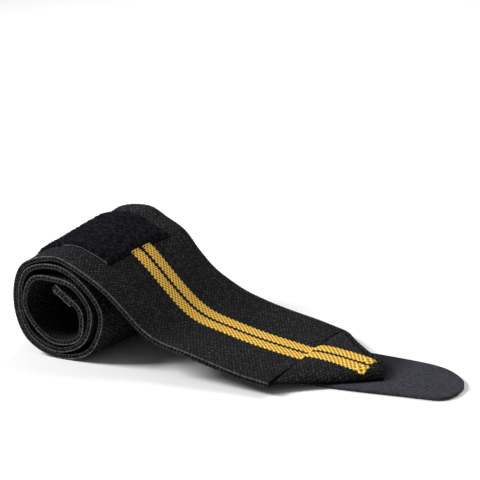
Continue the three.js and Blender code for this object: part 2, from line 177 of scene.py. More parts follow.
# The tongue and the thumb loop's tape.
TONGUE_WAVE = 0.12 * MM  # depth of the tongue's faint waves
TONGUE_WAVES = (31 * MM, 40 * MM)  # their length along and across
TONGUE_RIM = 0.03  # width of the tongue's rounded rim, a share of the tongue's width
PAINTED_SHADOW_END = 1.17  # where the painted shadow of the tip on the tongue ends, a share of TIP_LENGTH
PAINTED_SHADOW_EDGE = 28 * MM  # where it starts across the tongue
TAPE_EDGE = 0.7 * MM  # radius of the tape's edges
TAPE_CUP = 0.5 * MM
HERRINGBONE_WIDTH = 1.9 * MM
RIB_PITCH = 0.9 * MM

# Knots along the band's edge curves.
TURN_ROWS = len(INNERMOST_TURN)
CREST = TURN_ROWS + len(OUTER_TURNS) - 1  # on top of the roll
PATCH_START = CREST - 3.25
PATCH_END = CREST + 2.0
LAST_KNOT = CREST + len(SLOPE)

# The stage.
CAMERA_PLACE = (220.9 * MM, -455.1 * MM, 191.1 * MM)  # from the near end of the crease
CAMERA_AZIMUTH = math.radians(27.09)
CAMERA_DOWN = math.radians(14.36)
CAMERA_LENS = 105
CAMERA_SENSOR = 36

WRAP_MIDDLE = (0.0, 0.0, 0.02)  # where the key and rim lights point
KEY_PLACE = (-0.65, -0.34, 0.54)
KEY_SIZE = 0.32
RIM_PLACE = (0.1, 0.55, 0.75)
RIM_SIZE = 0.6
FLOOR_LIGHT_PLACE = (-0.5, 1.0, 1.6)
FLOOR_LIGHT_TARGET = (-0.9, 3.2, 0.4)
FLOOR_LIGHT_SIZE = 1.2
FLOOR_REACH = 3.0
FLOOR_LEVEL = -0.3 * MM


# Curves and surfaces

def catmull_rom(points, at):
    """Points of a centripetal Catmull-Rom curve at knot numbers: each span is a cubic between two knots,
    whose end tangents weigh the neighbouring chords by the square roots of their lengths."""
    points = np.asarray(points, float)
    last = len(points) - 1
    padded = np.vstack([2 * points[0] - points[1], points, 2 * points[-1] - points[-2]])
    at = np.clip(np.asarray(at, float), 0, last)
    span = np.minimum(at.astype(int), last - 1)
    w = (at - span)[:, None]
    p0, p1, p2, p3 = (padded[span + step] for step in range(4))
    d0, d1, d2 = (
        np.sqrt(np.linalg.norm(b - a, axis=1))[:, None] + 1e-12 for a, b in ((p0, p1), (p1, p2), (p2, p3))
    )
    t1 = ((p1 - p0) / d0 - (p2 - p0) / (d0 + d1) + (p2 - p1) / d1) * d1
    t2 = ((p2 - p1) / d1 - (p3 - p1) / (d1 + d2) + (p3 - p2) / d2) * d1
    return p1 + t1 * w + (3 * (p2 - p1) - 2 * t1 - t2) * w**2 + (2 * (p1 - p2) + t1 + t2) * w**3


def unit(vectors):
    """Each vector divided by its length."""
    return vectors / np.maximum(np.linalg.norm(vectors, axis=-1, keepdims=True), 1e-12)


def smooth(x):
    """0 below 0, 1 above 1 and 3x^2 - 2x^3 between."""
    x = np.clip(x, 0, 1)
    return x * x * (3 - 2 * x)


def bell(x, middle, width):
    """1 at the middle and e to the minus square of the distance from it, measured in widths, elsewhere."""
    return np.exp(-(((x - middle) / width) ** 2))


def tongue_edges(at):
    """The tongue's near and far edges at shares of its table's rows, as points in the table's plane."""
    share, near, far = np.array(TONGUE, float).T
    along = share * TONGUE_LENGTH - TONGUE_ROOT
    edges = []
    for side, half in ((-1, near), (1, far)):
        across = TONGUE_MIDDLE + side * half * TONGUE_WIDTH / 2
        points = np.stack([along, across, 0 * along], axis=1)
        edges.append(catmull_rom(points, np.asarray(at) * (len(TONGUE) - 1)))
    return edges


def part_origin():
    """Where the near end of the crease lies in the part's frame, from the tongue's box."""
    low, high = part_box("hook_tongue")
    near, far = tongue_edges(np.linspace(0, 1, 200))
    return np.array([high.x - max(near[:, 0].max(), far[:, 0].max()), low.y - near[:, 1].min(), 0.0])


ORIGIN = part_origin()


class Band:
    """The band's centre surface: two edge curves through the tables' knots, joined by lines across."""

    def __init__(self, sizes):
        self.width = sizes.band_width
        self.half = sizes.band_thickness / 2
        self.tip_floor = sizes.tongue_thickness + CLEARANCE
        radii = [share * CORE_RADIUS for share in INNERMOST_TURN]
        for index, (slack, _, _) in enumerate(OUTER_TURNS):
            radii.append(radii[index] + 2 * self.half + TURN_GAP + slack * TURN_SLACK)
        self.axis_height = radii[CREST - TURN_ROWS // 2] + self.half
        self.crest_height = self.axis_height + radii[CREST]
        self.crease_height = self.tip_floor + self.half
        self.edges = [self.edge_knots(np.array(radii), far) for far in (0, 1)]
        dense = np.linspace(0, LAST_KNOT, 4001)
        middle = self.centre(dense, [self.width / 2])[:, 0]
        walked = np.concatenate([[0], np.cumsum(np.linalg.norm(np.diff(middle, axis=0), axis=1))])
        self.dense, self.walked = dense, walked

    def edge_knots(self, radii, far):
        """Knots of one edge: polar points about the roll's axis, moved by flares, then the slope's rows."""
        turn = np.arange(len(radii)) * math.pi / 4
        flares = np.vstack([np.zeros((TURN_ROWS, 2)), np.array(OUTER_TURNS, float)[:, 1:]]) * far * ROLL_FLARE
        roll = np.stack(
            [
                -RUN_LENGTH + radii * np.sin(turn) + flares[:, 0],
                np.full(len(radii), far * self.width),
                self.axis_height + radii * np.cos(turn) + flares[:, 1],
            ],
            axis=1,
        )
        share, near_height, far_height, _ = np.array(SLOPE, float).T
        height = far_height if far else near_height
        run = np.stack(
            [
                (share - 1) * RUN_LENGTH + far * share * TIP[0][FAR_ALONG] * TIP_LENGTH,
                np.full(len(share), far * self.width),
                self.crease_height + height * (self.crest_height - self.crease_height),
            ],
            axis=1,
        )
        return np.vstack([roll, run]) + ORIGIN

    def centre(self, knots, across):
        """Points of the centre surface: a line from the near edge to the far one at each knot, raised by a
        parabola that is 0 at the edges and the arch's height in the middle."""
        near, far = (catmull_rom(edge, knots) for edge in self.edges)
        share = (np.asarray(across, float) / self.width)[None, :, None]
        points = near[:, None] * (1 - share) + far[:, None] * share
        points[..., 2] += (4 * share * (1 - share))[..., 0] * self.arch(knots)[:, None]
        return points

    def arch(self, knots):
        """Rise of the middle at knots: a uniform Catmull-Rom curve through the rows' last values, and 0 on
        the roll."""
        rows = np.concatenate([np.zeros(CREST + 1), np.array(SLOPE, float)[:, -1]]) * ARCH
        last = len(rows) - 1
        at = np.clip(np.asarray(knots, float), 0, last)
        span = np.minimum(at.astype(int), last - 1)
        t = at - span
        p0, p1, p2, p3 = (rows[np.clip(span + step, 0, last)] for step in (-1, 0, 1, 2))
        squared, cubed = 2 * p0 - 5 * p1 + 4 * p2 - p3, 3 * (p1 - p2) + p3 - p0
        return p1 + t * ((p2 - p0) + t * (squared + t * cubed)) / 2

    def normal(self, knots, across):
        """The way out of the outer face: along the band cross over the band, made one long."""
        knots, across = np.asarray(knots, float), np.asarray(across, float)
        along = self.centre(np.minimum(knots + 0.02, LAST_KNOT), across) - self.centre(
            np.maximum(knots - 0.02, 0), across
        )
        over = self.centre(knots, across + MM) - self.centre(knots, across - MM)
        return unit(np.cross(along, over))

    def points(self, knots, across, height):
        """Points at a height over the centre surface, the height one number or a number for each point."""
        height = np.broadcast_to(np.asarray(height, float), (len(knots), len(across)))[..., None]
        return self.centre(knots, across) + height * self.normal(knots, across)

    def distance(self, knots):
        """Metres along the band's middle line from its inner end."""
        return np.interp(knots, self.dense, self.walked)

    def knots_at(self, distances):
        """The knot numbers at distances along the middle line."""
        return np.interp(distances, self.walked, self.dense)

    # The tip, a doubled end on the tongue. Its rows are those of TIP, and share runs from near edge to far.

    def tip_rows(self, rows):
        """The tip's table at row numbers, each column a Catmull-Rom curve through its values."""
        return catmull_rom(np.array(TIP, float), rows)

    def tip_plan(self, table, share):
        """Plan of the tip's points, on straight lines from its near edge to its far one."""
        x = (table[:, NEAR_ALONG, None] * (1 - share) + table[:, FAR_ALONG, None] * share) * TIP_LENGTH
        y = (table[:, NEAR_ACROSS, None] * (1 - share) + table[:, FAR_ACROSS, None] * share) * self.width
        return x, y

    def tip_heights(self, rows, table, share):
        """Top and underside. The underside lies on the tongue and lifts towards the near edge by the square
        of the way there. The top is a half ellipse over a rim that runs out on the near side, and both
        round to meet at the edges. The top is pulled in at the seam and at the blunt end, and has a welt
        along the far edge with a groove inside it."""
        lift, rim, crown = (table[:, column, None] for column in (LIFT, RIM, CROWN))
        rows = np.asarray(rows, float)[:, None]
        raised = np.interp(rows, np.arange(len(TIP)), TIP_FAR_RISE) * smooth((share - 0.4) / 0.55)
        edge = rim * (0.35 + 0.65 * smooth(share / 0.4)) + lift * (1 - share) + raised
        bulge = np.sqrt(np.maximum(0, 1 - (2 * share - 1) ** 2))
        top = self.tip_floor + TIP_HEIGHT * (edge + (np.maximum(edge, crown) - edge) * bulge)
        under = self.tip_floor + TIP_HEIGHT * lift * (1 - share) ** 2

        wide = (table[:, FAR_ACROSS, None] - table[:, NEAR_ACROSS, None]) * self.width
        near, far = share * wide, (1 - share) * wide
        inside = np.minimum(np.clip(near / (2 * TIP_ROUND), 0, 1), np.clip(1.5 * far / TIP_ROUND, 0, 1))
        round_off = np.sqrt(np.maximum(0, 1 - (1 - inside) ** 2))
        pulled_in = TIP_SEAM_PULL * (1 - np.sqrt(smooth(rows / 0.9))) * smooth(far / SEAM_RUN_OUT)
        close = (1 - pulled_in) * np.sqrt(1 - 0.92 * smooth((rows - 5.1) / 0.9) ** 2)
        welt = WELT_HEIGHT * bell(far, WELT_INSET, WELT_WIDTH)
        welt = welt - GROOVE_DEPTH * bell(far, GROOVE_INSET, GROOVE_WIDTH)
        welt = welt * smooth(rows / 0.8) * smooth((5.4 - rows) / 0.8)
        middle = (top + under) / 2
        top = middle + (top - middle) * round_off * close + welt
        return top, middle + (under - middle) * round_off


# Meshes

def slab(upper, lower):
    """A closed solid between two grids of the same size: both grids' quads, and a wall round their rims."""
    rows, columns = upper.shape[:2]
    index = np.arange(rows * columns).reshape(rows, columns)
    top = np.stack([index[:-1, :-1], index[1:, :-1], index[1:, 1:], index[:-1, 1:]], axis=-1).reshape(-1, 4)
    below = rows * columns
    walls = []
    for line in (index[::-1, 0], index[:, -1], index[0, :], index[-1, ::-1]):
        walls.append(np.stack([line[:-1], line[1:], line[1:] + below, line[:-1] + below], axis=-1))
    quads = np.vstack([top, top[:, ::-1] + below, *walls])
    return np.vstack([upper.reshape(-1, 3), lower.reshape(-1, 3)]), quads


def tubes(rings):
    """Closed tubes through rings of points, (tubes, rings, sides, 3), with a flat end at both ends. The
    rings turn anticlockwise for someone whom the tube comes towards, so the faces point outwards."""
    count, length, sides = rings.shape[:3]
    index = np.arange(length * sides).reshape(length, sides)
    ahead = np.roll(index, -1, axis=1)
    quads = np.stack([index[:-1], ahead[:-1], ahead[1:], index[1:]], axis=-1).reshape(-1, 4)
    ends = np.stack([index[0, ::-1], index[-1]])
    shifts = (np.arange(count) * index.size)[:, None, None]
    faces = (quads + shifts).reshape(-1, 4).tolist() + (ends + shifts).reshape(-1, sides).tolist()
    return rings.reshape(-1, 3), faces


def make_piece(name, points, faces, material, cloth=None, replaces=()):
    """A mesh object from points and faces. Its attribute cloth keeps where each point lies on the cloth."""
    mesh = bpy.data.meshes.new(name)
    mesh.from_pydata(points.tolist(), [], faces if isinstance(faces, list) else faces.tolist())
    mesh.polygons.foreach_set("use_smooth", np.ones(len(mesh.polygons), bool))
    if cloth is not None:
        mesh.attributes.new("cloth", "FLOAT_VECTOR", "POINT").data.foreach_set(
            "vector", np.asarray(cloth, np.float32).ravel()
        )
    mesh.materials.append(material)
    mesh.update()
    piece = bpy.data.objects.new(name, mesh)
    bpy.context.scene.collection.objects.link(piece)
    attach(piece, BODY)
    if replaces:
        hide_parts(*replaces)
    return piece


def cloth_places(along, across, mark=0.0, under=None):
    """The cloth attribute of a slab's two faces: distance along, distance across and a mark, whose meaning
    each material says. The lower face may have a mark of its own."""
    layers = []
    for value in (mark, mark if under is None else under):
        parts = np.broadcast_arrays(along, across, value)
        layers.append(np.stack(parts, axis=-1).reshape(-1, 3))
    return np.vstack(layers)


def rounded(across, width, radius):
    """1 in the middle of a strip and a quarter circle down to 0 at its two edges."""
    inside = np.clip(np.minimum(across, width - across) / radius, 0, 1)
    return np.sqrt(np.maximum(0, 1 - (1 - inside) ** 2))


def edge_columns(width, steps, radius):
    """Stations across a strip, crowded within the radius of its two edges."""
    quarter = radius * (1 - np.cos(np.linspace(0, math.pi / 2, 5)))
    return np.concatenate([quarter, np.linspace(radius, width - radius, steps)[1:-1], width - quarter[::-1]])


def beads(path, out, side, distance, radius, flat, pitch, sides=8):
    """A beaded yarn along a path: an ellipse round each point, whose size swells and shrinks with the
    cosine of the distance walked."""
    swell = 0.74 + 0.26 * np.abs(np.cos(math.pi * distance / pitch))[:, None, None]
    turn = np.linspace(0, 2 * math.pi, sides, endpoint=False)[None, :, None]
    oval = np.cos(turn) * out[:, None] * flat + np.sin(turn) * side[:, None]
    return tubes((path[:, None] + swell * radius * oval)[None])


def stitches(centres, along, out, length, radius):
    """A row of stitches, each a small spindle bent down at its ends: rings of points about a middle line."""
    t = np.linspace(-1, 1, 7)
    turn = np.linspace(0, 2 * math.pi, 6, endpoint=False)
    wide = radius * np.sqrt(np.maximum(0.03, 1 - t**4))
    drop = -radius * 1.3 * t**4
    side = unit(np.cross(out, along))
    line = centres[:, None] + t[None, :, None] * length / 2 * along[:, None]
    line = line + drop[None, :, None] * out[:, None]
    ring = (
        np.cos(turn)[None, None, :, None] * side[:, None, None]
        + np.sin(turn)[None, None, :, None] * out[:, None, None]
    )
    return tubes(line[:, :, None] + wide[None, :, None, None] * ring)


# Materials

class Paint:
    """A new material and short ways to wire its nodes."""

    def __init__(self, name, roughness, sheen=0.0, sheen_roughness=0.5, gloss=0.12):
        self.material = bpy.data.materials.new(name)
        self.material.use_nodes = True
        self.nodes = self.material.node_tree.nodes
        self.links = self.material.node_tree.links
        self.shader = self.nodes["Principled BSDF"]
        self.shader.inputs["Roughness"].default_value = roughness
        self.shader.inputs["Specular IOR Level"].default_value = gloss
        self.shader.inputs["Sheen Weight"].default_value = sheen
        self.shader.inputs["Sheen Roughness"].default_value = sheen_roughness

    def put(self, socket, value):
        """Wires a socket to another, or sets its number."""
        if isinstance(value, bpy.types.NodeSocket):
            self.links.new(value, socket)
        else:
            socket.default_value = value

    def math(self, operation, first, second=0.0, third=0.0):
        """One Math node."""
        node = self.nodes.new("ShaderNodeMath")
        node.operation = operation
        for socket, value in zip(node.inputs, (first, second, third)):
            self.put(socket, value)
        return node.outputs[0]

    def place(self):
        """Distance along and across the cloth, in metres, and its mark."""
        node = self.nodes.new("ShaderNodeAttribute")
        node.attribute_name = "cloth"
        parts = self.nodes.new("ShaderNodeSeparateXYZ")
        self.links.new(node.outputs["Vector"], parts.inputs[0])
        return parts.outputs

    def noise(self, scale, detail=2.0, stretch=None):
        """Noise on Object coordinates, in features per metre."""
        where = self.nodes.new("ShaderNodeTexCoord").outputs["Object"]
        if stretch:
            mapping = self.nodes.new("ShaderNodeMapping")
            mapping.inputs["Scale"].default_value = stretch
            self.links.new(where, mapping.inputs["Vector"])
            where = mapping.outputs[0]
        node = self.nodes.new("ShaderNodeTexNoise")
        self.links.new(where, node.inputs["Vector"])
        node.inputs["Scale"].default_value = scale
        node.inputs["Detail"].default_value = detail
        return node.outputs["Fac"]

    def span(self, value, low, high, to_low=0.0, to_high=1.0):
        """A value moved from one span to another and held there."""
        node = self.nodes.new("ShaderNodeMapRange")
        for socket, number in zip(node.inputs, (value, low, high, to_low, to_high)):
            self.put(socket, number)
        return node.outputs[0]

    def mix(self, share, first, second):
        """A mix of two colours."""
        node = self.nodes.new("ShaderNodeMix")
        node.data_type = "RGBA"
        self.put(node.inputs["Factor"], share)
        for name, value in (("A", first), ("B", second)):
            socket = next(s for s in node.inputs if s.name == name and s.type == "RGBA")
            self.put(socket, value if isinstance(value, bpy.types.NodeSocket) else (*value[:3], 1))
        return next(s for s in node.outputs if s.type == "RGBA")

    def lattice(self, along, across, pitch_along, pitch_across):
        """Staggered bumps from 0 to 1: the product of two cosines, one along and one across."""
        u = self.math("COSINE", self.math("MULTIPLY", along, 2 * math.pi / pitch_along))
        v = self.math("COSINE", self.math("MULTIPLY", across, 2 * math.pi / pitch_across))
        return self.math("MULTIPLY_ADD", self.math("MULTIPLY", u, v), 0.5, 0.5)

    def colour(self, value):
        """The shader's colour."""
        self.put(self.shader.inputs["Base Color"], value)

    def relief(self, height, depth, strength=1.0):
        """Bump, with the height of 1 standing the depth out, in metres."""
        node = self.nodes.new("ShaderNodeBump")
        node.inputs["Strength"].default_value = strength
        node.inputs["Distance"].default_value = depth
        self.links.new(height, node.inputs["Height"])
        self.links.new(node.outputs[0], self.shader.inputs["Normal"])


def woven_elastic(sizes, colours):
    """Charcoal elastic: staggered floats of a rice weave, longer across the band, uneven in size and tone,
    dark between them. A mark above 0 darkens the cloth with painted shade, as on the inner face; one below
    0 lightens it with painted light, as on the tip's top."""
    paint = Paint("Woven elastic", 0.95, 0.02, 0.4, 0.1)
    along, across, mark = paint.place()
    stretch = (1.0, 0.5, 1.0)
    uneven = paint.noise(800, 2, stretch)
    wander = paint.math("MULTIPLY", paint.math("SUBTRACT", uneven, 0.5), 2.2 * MM)
    pitch = sizes.weave_pitch
    weave = paint.lattice(paint.math("ADD", along, wander), across, pitch, pitch * FLOAT_STRETCH)
    speck = paint.span(paint.noise(950, 1, stretch), 0.4, 0.62, 0.16, 1.0)
    tone = paint.span(paint.noise(70, 3), 0.35, 0.7, 0.65, 1.0)
    share = paint.math("MULTIPLY", paint.math("MULTIPLY", paint.span(weave, 0.3, 0.85), speck), tone)
    # the mark paints shade above 0 and light below 0
    share = paint.math("MULTIPLY", share, paint.math("MULTIPLY_ADD", mark, -0.7, 1.0))
    paint.colour(paint.mix(share, colours.charcoal_shade, colours.charcoal))
    paint.relief(paint.math("MULTIPLY_ADD", speck, 0.5, weave), 0.45 * MM, 1.0)
    return paint.material


def selvedge_yarn(colours, name, brightness):
    """Greyer yarn of the selvedge loops, with fine fuzz and dark gaps."""
    paint = Paint(name, 0.9, 0.04, 0.4)
    fuzz = paint.noise(1500, 2)
    share = paint.math("MULTIPLY", paint.span(fuzz, 0.33, 0.58, 0.15, 1.0), brightness)
    paint.colour(paint.mix(share, colours.charcoal_shade, colours.selvedge))
    paint.relief(fuzz, 0.2 * MM, 0.8)
    return paint.material


def stripe_yarn(sizes, colours):
    """Yellow-orange scales with painted highlights on their crowns and painted shade between them, and larger
    knots whose holes at the sewn end are darkened by painted shade.
    """
    paint = Paint("Stripe yarn", 0.8, 0.02, 0.5, 0.15)
    along, across, knotted = paint.place()
    pitch, span = sizes.scale_pitch, sizes.stripe_width / SCALES_ABREAST
    fine = paint.lattice(along, across, pitch, span)
    coarse = paint.lattice(along, across, pitch * KNOT_SPREAD, span * KNOT_SPREAD)
    fuzz = paint.noise(2400, 3)
    blend = paint.math("MULTIPLY_ADD", paint.math("SUBTRACT", coarse, fine), knotted, fine)
    share = paint.math("MULTIPLY_ADD", paint.math("SUBTRACT", fuzz, 0.5), 0.6, blend)
    # painted shade and highlights: the scales' lows take amber_shade, their crowns amber_light, and the
    # knots' lows the hole colour
    ground = paint.mix(paint.span(share, 0.08, 0.42), colours.amber_shade, colours.amber)
    light = paint.mix(paint.span(share, 0.4, 0.75), ground, colours.amber_light)
    hole = paint.math("MULTIPLY", knotted, paint.span(share, 0.22, 0.08))
    paint.colour(paint.mix(hole, light, colours.hole))
    paint.relief(paint.math("MULTIPLY_ADD", fuzz, 0.3, blend), 0.4 * MM, 0.9)
    return paint.material


def loop_fleece(colours):
    """Black pile with a purplish bloom, in clumps."""
    paint = Paint("Loop fleece", 1.0, 0.03, 0.35, 0.03)
    paint.shader.inputs["Sheen Tint"].default_value = (0.75, 0.7, 1.0, 1)
    clumps = paint.noise(520, 2)
    fuzz = paint.noise(1300, 1)
    share = paint.math("MULTIPLY", paint.span(clumps, 0.42, 0.6), paint.span(fuzz, 0.4, 0.62, 0.15, 1.0))
    paint.colour(paint.mix(share, colours.fleece_shade, colours.fleece))
    paint.relief(paint.math("MULTIPLY_ADD", fuzz, 0.5, clumps), 0.8 * MM, 1.0)
    return paint.material


def tongue_cloth(colours):
    """Brushed slate backing with a fine grain, darkened by a painted shadow of the tip where the mark is 1.
    """
    paint = Paint("Tongue cloth", 0.9, 0.02, 0.4, 0.05)
    painted_shadow = paint.place()[2]
    grain = paint.noise(700, 2)
    tone = paint.noise(60, 2)
    share = paint.math("MULTIPLY_ADD", tone, 0.35, paint.span(grain, 0.34, 0.64, 0.2, 0.7))
    # painted shadow: the mark darkens the colour beside the tip's end
    share = paint.math("MULTIPLY", share, paint.math("MULTIPLY_ADD", painted_shadow, -0.9, 1.0))
    paint.colour(paint.mix(share, colours.slate_shade, colours.slate))
    paint.relief(grain, 0.08 * MM, 0.5)
    return paint.material


def tape_cloth(colours):
    """Narrow woven tape: a fine herringbone of ribs across its width."""
    paint = Paint("Thumb loop tape", 0.7, 0.04, 0.4, 0.2)
    along, across, _ = paint.place()
    slant = paint.math("PINGPONG", across, HERRINGBONE_WIDTH)
    turns = paint.math("MULTIPLY", paint.math("ADD", along, slant), 2 * math.pi / RIB_PITCH)
    height = paint.math("MULTIPLY_ADD", paint.math("SINE", turns), 0.5, 0.5)
    paint.colour(paint.mix(height, colours.slate_shade, colours.tape))
    paint.relief(height, 0.12 * MM, 0.7)
    return paint.material


def sewing_thread(colours):
    """Dull dark sewing thread."""
    paint = Paint("Sewing thread", 1.0, gloss=0.0)
    twist = paint.noise(3500, 1)
    paint.colour(paint.mix(twist, colours.charcoal_shade, colours.thread))
    return paint.material


# Pieces

def stripe_middles(sizes):
    """Where the middles of the near and the far stripe lie across the band."""
    pair = TIP[0][PAIR_MIDDLE] * sizes.band_width
    step = (sizes.stripe_width + sizes.stripe_gap) / 2
    return pair - step, pair + step


def band_stations(band):
    """Knot numbers along the band: even on the roll and the run, crowded at the hem's end and the crease."""
    roll = np.linspace(0, CREST, CREST * 9 + 1)
    run = np.linspace(CREST, LAST_KNOT, len(SLOPE) * 12 + 1)[1:]
    hem = band.knots_at(np.concatenate([np.linspace(0, HEM_ROUND, 9), np.linspace(2 * MM, 5 * MM, 8)]))
    crease = band.knots_at(band.walked[-1] - np.linspace(0, SEAM_REACH, 6))
    return np.unique(np.concatenate([hem, roll, run, crease]))


def band_ends(band, walked, across):
    """The share of its thickness that the band keeps: a quarter circle up from 0 at the hem's end, and
    another one down to what SEAM_PULL leaves at the crease. That pull runs out towards the far edge."""
    end = np.sqrt(np.clip(1 - (1 - walked / HEM_ROUND) ** 2, 0, 1))
    end = np.where(walked > HEM_ROUND, 1.0, end)
    seam = np.clip((band.walked[-1] - walked) / SEAM_REACH, 0, 1)
    sunk = SEAM_PULL * (1 - np.sqrt(1 - (1 - seam) ** 2)) * smooth((band.width - across) / SEAM_RUN_OUT)[None]
    return end * (1 - sunk)


def weave_band(sizes, colours):
    """The band from its hem to the crease. Its faces stand half the thickness off the centre surface and
    round down to the edges. The outer one is sunk under the stripes, and the hem thickens the inner one."""
    band = Band(sizes)
    knots = band_stations(band)
    across = edge_columns(band.width, 60, band.half * EDGE_ROUNDING)
    edge = rounded(across, band.width, band.half * EDGE_ROUNDING)[None]
    walked = band.distance(knots)[:, None]
    near_stripe, far_stripe = stripe_middles(sizes)
    off = np.minimum(np.abs(across - near_stripe), np.abs(across - far_stripe))[None]
    channel = smooth((sizes.stripe_width / 2 + CHANNEL_MARGIN - off) / CHANNEL_MARGIN)
    sink = STRIPE_SINK * channel * (knots >= PATCH_END)[:, None]
    bulb = HEM_BULB * bell(walked, HEM_BULB_PLACE, HEM_BULB_WIDTH)
    fold = smooth((HEM_LENGTH - walked) / HEM_STEP) + bulb
    top, bottom = band.half - sink, -band.half - HEM_THICKNESS * fold
    middle = (top + bottom) / 2
    ends = band_ends(band, walked, across)
    upper = band.points(knots, across, middle + (top - middle) * ends * edge)
    lower = band.points(knots, across, middle + (bottom - middle) * ends * edge)
    points, faces = slab(upper, lower)
    # the inner face's mark of 0.1 is painted shade, which darkens the bore
    piece = make_piece(
        "woven_band", points, faces, woven_elastic(sizes, colours),
        cloth_places(walked, across[None], 0.0, 0.1), ("elastic_band",),
    )
    return piece


def fold_tip(sizes, colours):
    """The doubled, puffed tip: its top and underside between straight lines from the near edge to the far
    one, with stations crowded at the edges by a cosine, and small puckers that die away from the seam. Its
    mark is painted light on the top, and painted shade along the near edge, the underside and the blunt end."""
    band = Band(sizes)
    rows = np.linspace(0, len(TIP) - 1, 97)
    table = band.tip_rows(rows)
    share = (0.5 - 0.5 * np.cos(np.linspace(0, math.pi, 90)))[None]
    x, y = band.tip_plan(table, share)
    top, under = band.tip_heights(rows, table, share)
    pucker = PUCKER_HEIGHT * np.cos(2 * math.pi * y / PUCKER_PITCH) * bell(rows[:, None], 0, 0.9)
    upper = np.stack([x, y, top + pucker * np.sin(math.pi * share)], axis=-1) + ORIGIN
    lower = np.stack([x, y, under], axis=-1) + ORIGIN
    points, faces = slab(upper, lower)

    strides = np.linalg.norm(np.diff(upper[:, ::-1], axis=1), axis=-1)
    from_far = np.concatenate([np.zeros((len(rows), 1)), np.cumsum(strides, axis=1)], axis=1)[:, ::-1]
    near, far = table[:, NEAR_ACROSS, None] * band.width, table[:, FAR_ACROSS, None] * band.width
    # painted light and shade: lighter over the top, darker along the near edge and at the blunt end
    tip_painted_shading = -0.8 + 1.65 * smooth(1 - share * (far - near) / TIP_PAINTED_SHADE_EDGE)
    tip_painted_shading = np.maximum(tip_painted_shading, 0.9 * smooth((rows[:, None] - 4.2) / 0.8))
    # the underside's mark of 1.0 is painted shade where the near edge curls under
    piece = make_piece(
        "tip_fold", points, faces, bpy.data.materials.get("Woven elastic") or woven_elastic(sizes, colours),
        cloth_places(x + TIP_CLOTH_START, far - from_far, tip_painted_shading, 1.0), ("elastic_band",),
    )
    return piece


def run_selvedges(sizes, colours):
    """Beaded yarns whipped along the band's edges, one at each face with their beads half a pitch apart,
    and one over each end of the hem's fold."""
    band = Band(sizes)
    yarn = selvedge_yarn(colours, "Selvedge yarn", 1.0)
    # the inner face's selvedge is the same yarn dimmed to 0.35: painted shade
    shaded_selvedge_yarn = selvedge_yarn(colours, "Shaded inner selvedge yarn", 0.35)
    radius, pitch = sizes.bead_radius, sizes.bead_pitch
    face, end = band.half - BEAD_SUNK * radius, float(band.walked[-1])
    lines = (  # name, start and end along the band, height, phase of the beads, yarn
        ("outer", 0.3 * MM, end, face, 0.0, yarn),
        ("inner", HEM_LENGTH, end, -face, 0.5, shaded_selvedge_yarn),
        ("hem", 0.9 * MM, HEM_LENGTH, -band.half - HEM_THICKNESS / 2, 0.0, yarn),
    )
    for edge, across in (("near", radius * BEAD_INSET), ("far", band.width - radius * BEAD_INSET)):
        for line, start, stop, height, phase, thread in lines:
            walked = np.arange(start, stop, pitch / 6)
            knots = band.knots_at(walked)
            path = band.points(knots, np.array([across]), height)[:, 0]
            out = band.normal(knots, [across])[:, 0]
            side = unit(np.cross(np.gradient(path, axis=0), out))
            points, faces = beads(path, out, side, walked + phase * pitch, radius, 0.8, pitch)
            make_piece(f"selvedge_{edge}_{line}", points, faces, thread)


def scales(distance, offset, pitch, span):
    """Staggered bumps from 0 to 1: half of one plus the product of two cosines, along and across."""
    return 0.5 + 0.5 * np.cos(2 * math.pi * distance / pitch) * np.cos(2 * math.pi * offset / span)


def stripe_offsets(sizes, distance, steps=33):
    """Points across a stripe, from edge to edge, where the edges swell with the sine of the distance, and
    its cross-section there, 1 in the middle and down to 0 at the edges by a curve of the sixth power."""
    wave = np.abs(np.sin(math.pi * distance / sizes.scale_pitch))[:, None]
    place = np.linspace(-1, 1, steps)[None]
    offsets = place * (sizes.stripe_width / 2 + sizes.scallop * (wave - 0.6))
    return offsets, np.sqrt(np.maximum(0, 1 - np.abs(place) ** 6))


def stripe_on_run(band, sizes, middle):
    """A stripe on the run: its upper and lower grids, square to the band's surface, and its cloth places."""
    walked = np.arange(band.distance(PATCH_END) - 0.4 * MM, band.walked[-1] + 0.3 * MM, sizes.scale_pitch / 8)
    offsets, section = stripe_offsets(sizes, walked)
    knots = band.knots_at(np.minimum(walked, band.walked[-1]))
    centre, out = band.centre(knots, [middle])[:, 0], band.normal(knots, [middle])[:, 0]
    over = unit(band.centre(knots, [middle + MM])[:, 0] - centre)
    flat = centre[:, None] + offsets[..., None] * over[:, None]
    bed = band.half - STRIPE_BURIED
    relief = scales(walked[:, None], offsets, sizes.scale_pitch, sizes.stripe_width / SCALES_ABREAST)
    height = bed + section * (STRIPE_BODY + SCALE_HEIGHT * relief)
    upper = flat + height[..., None] * out[:, None]
    return upper, flat + bed * out[:, None], cloth_places(walked[:, None], offsets)


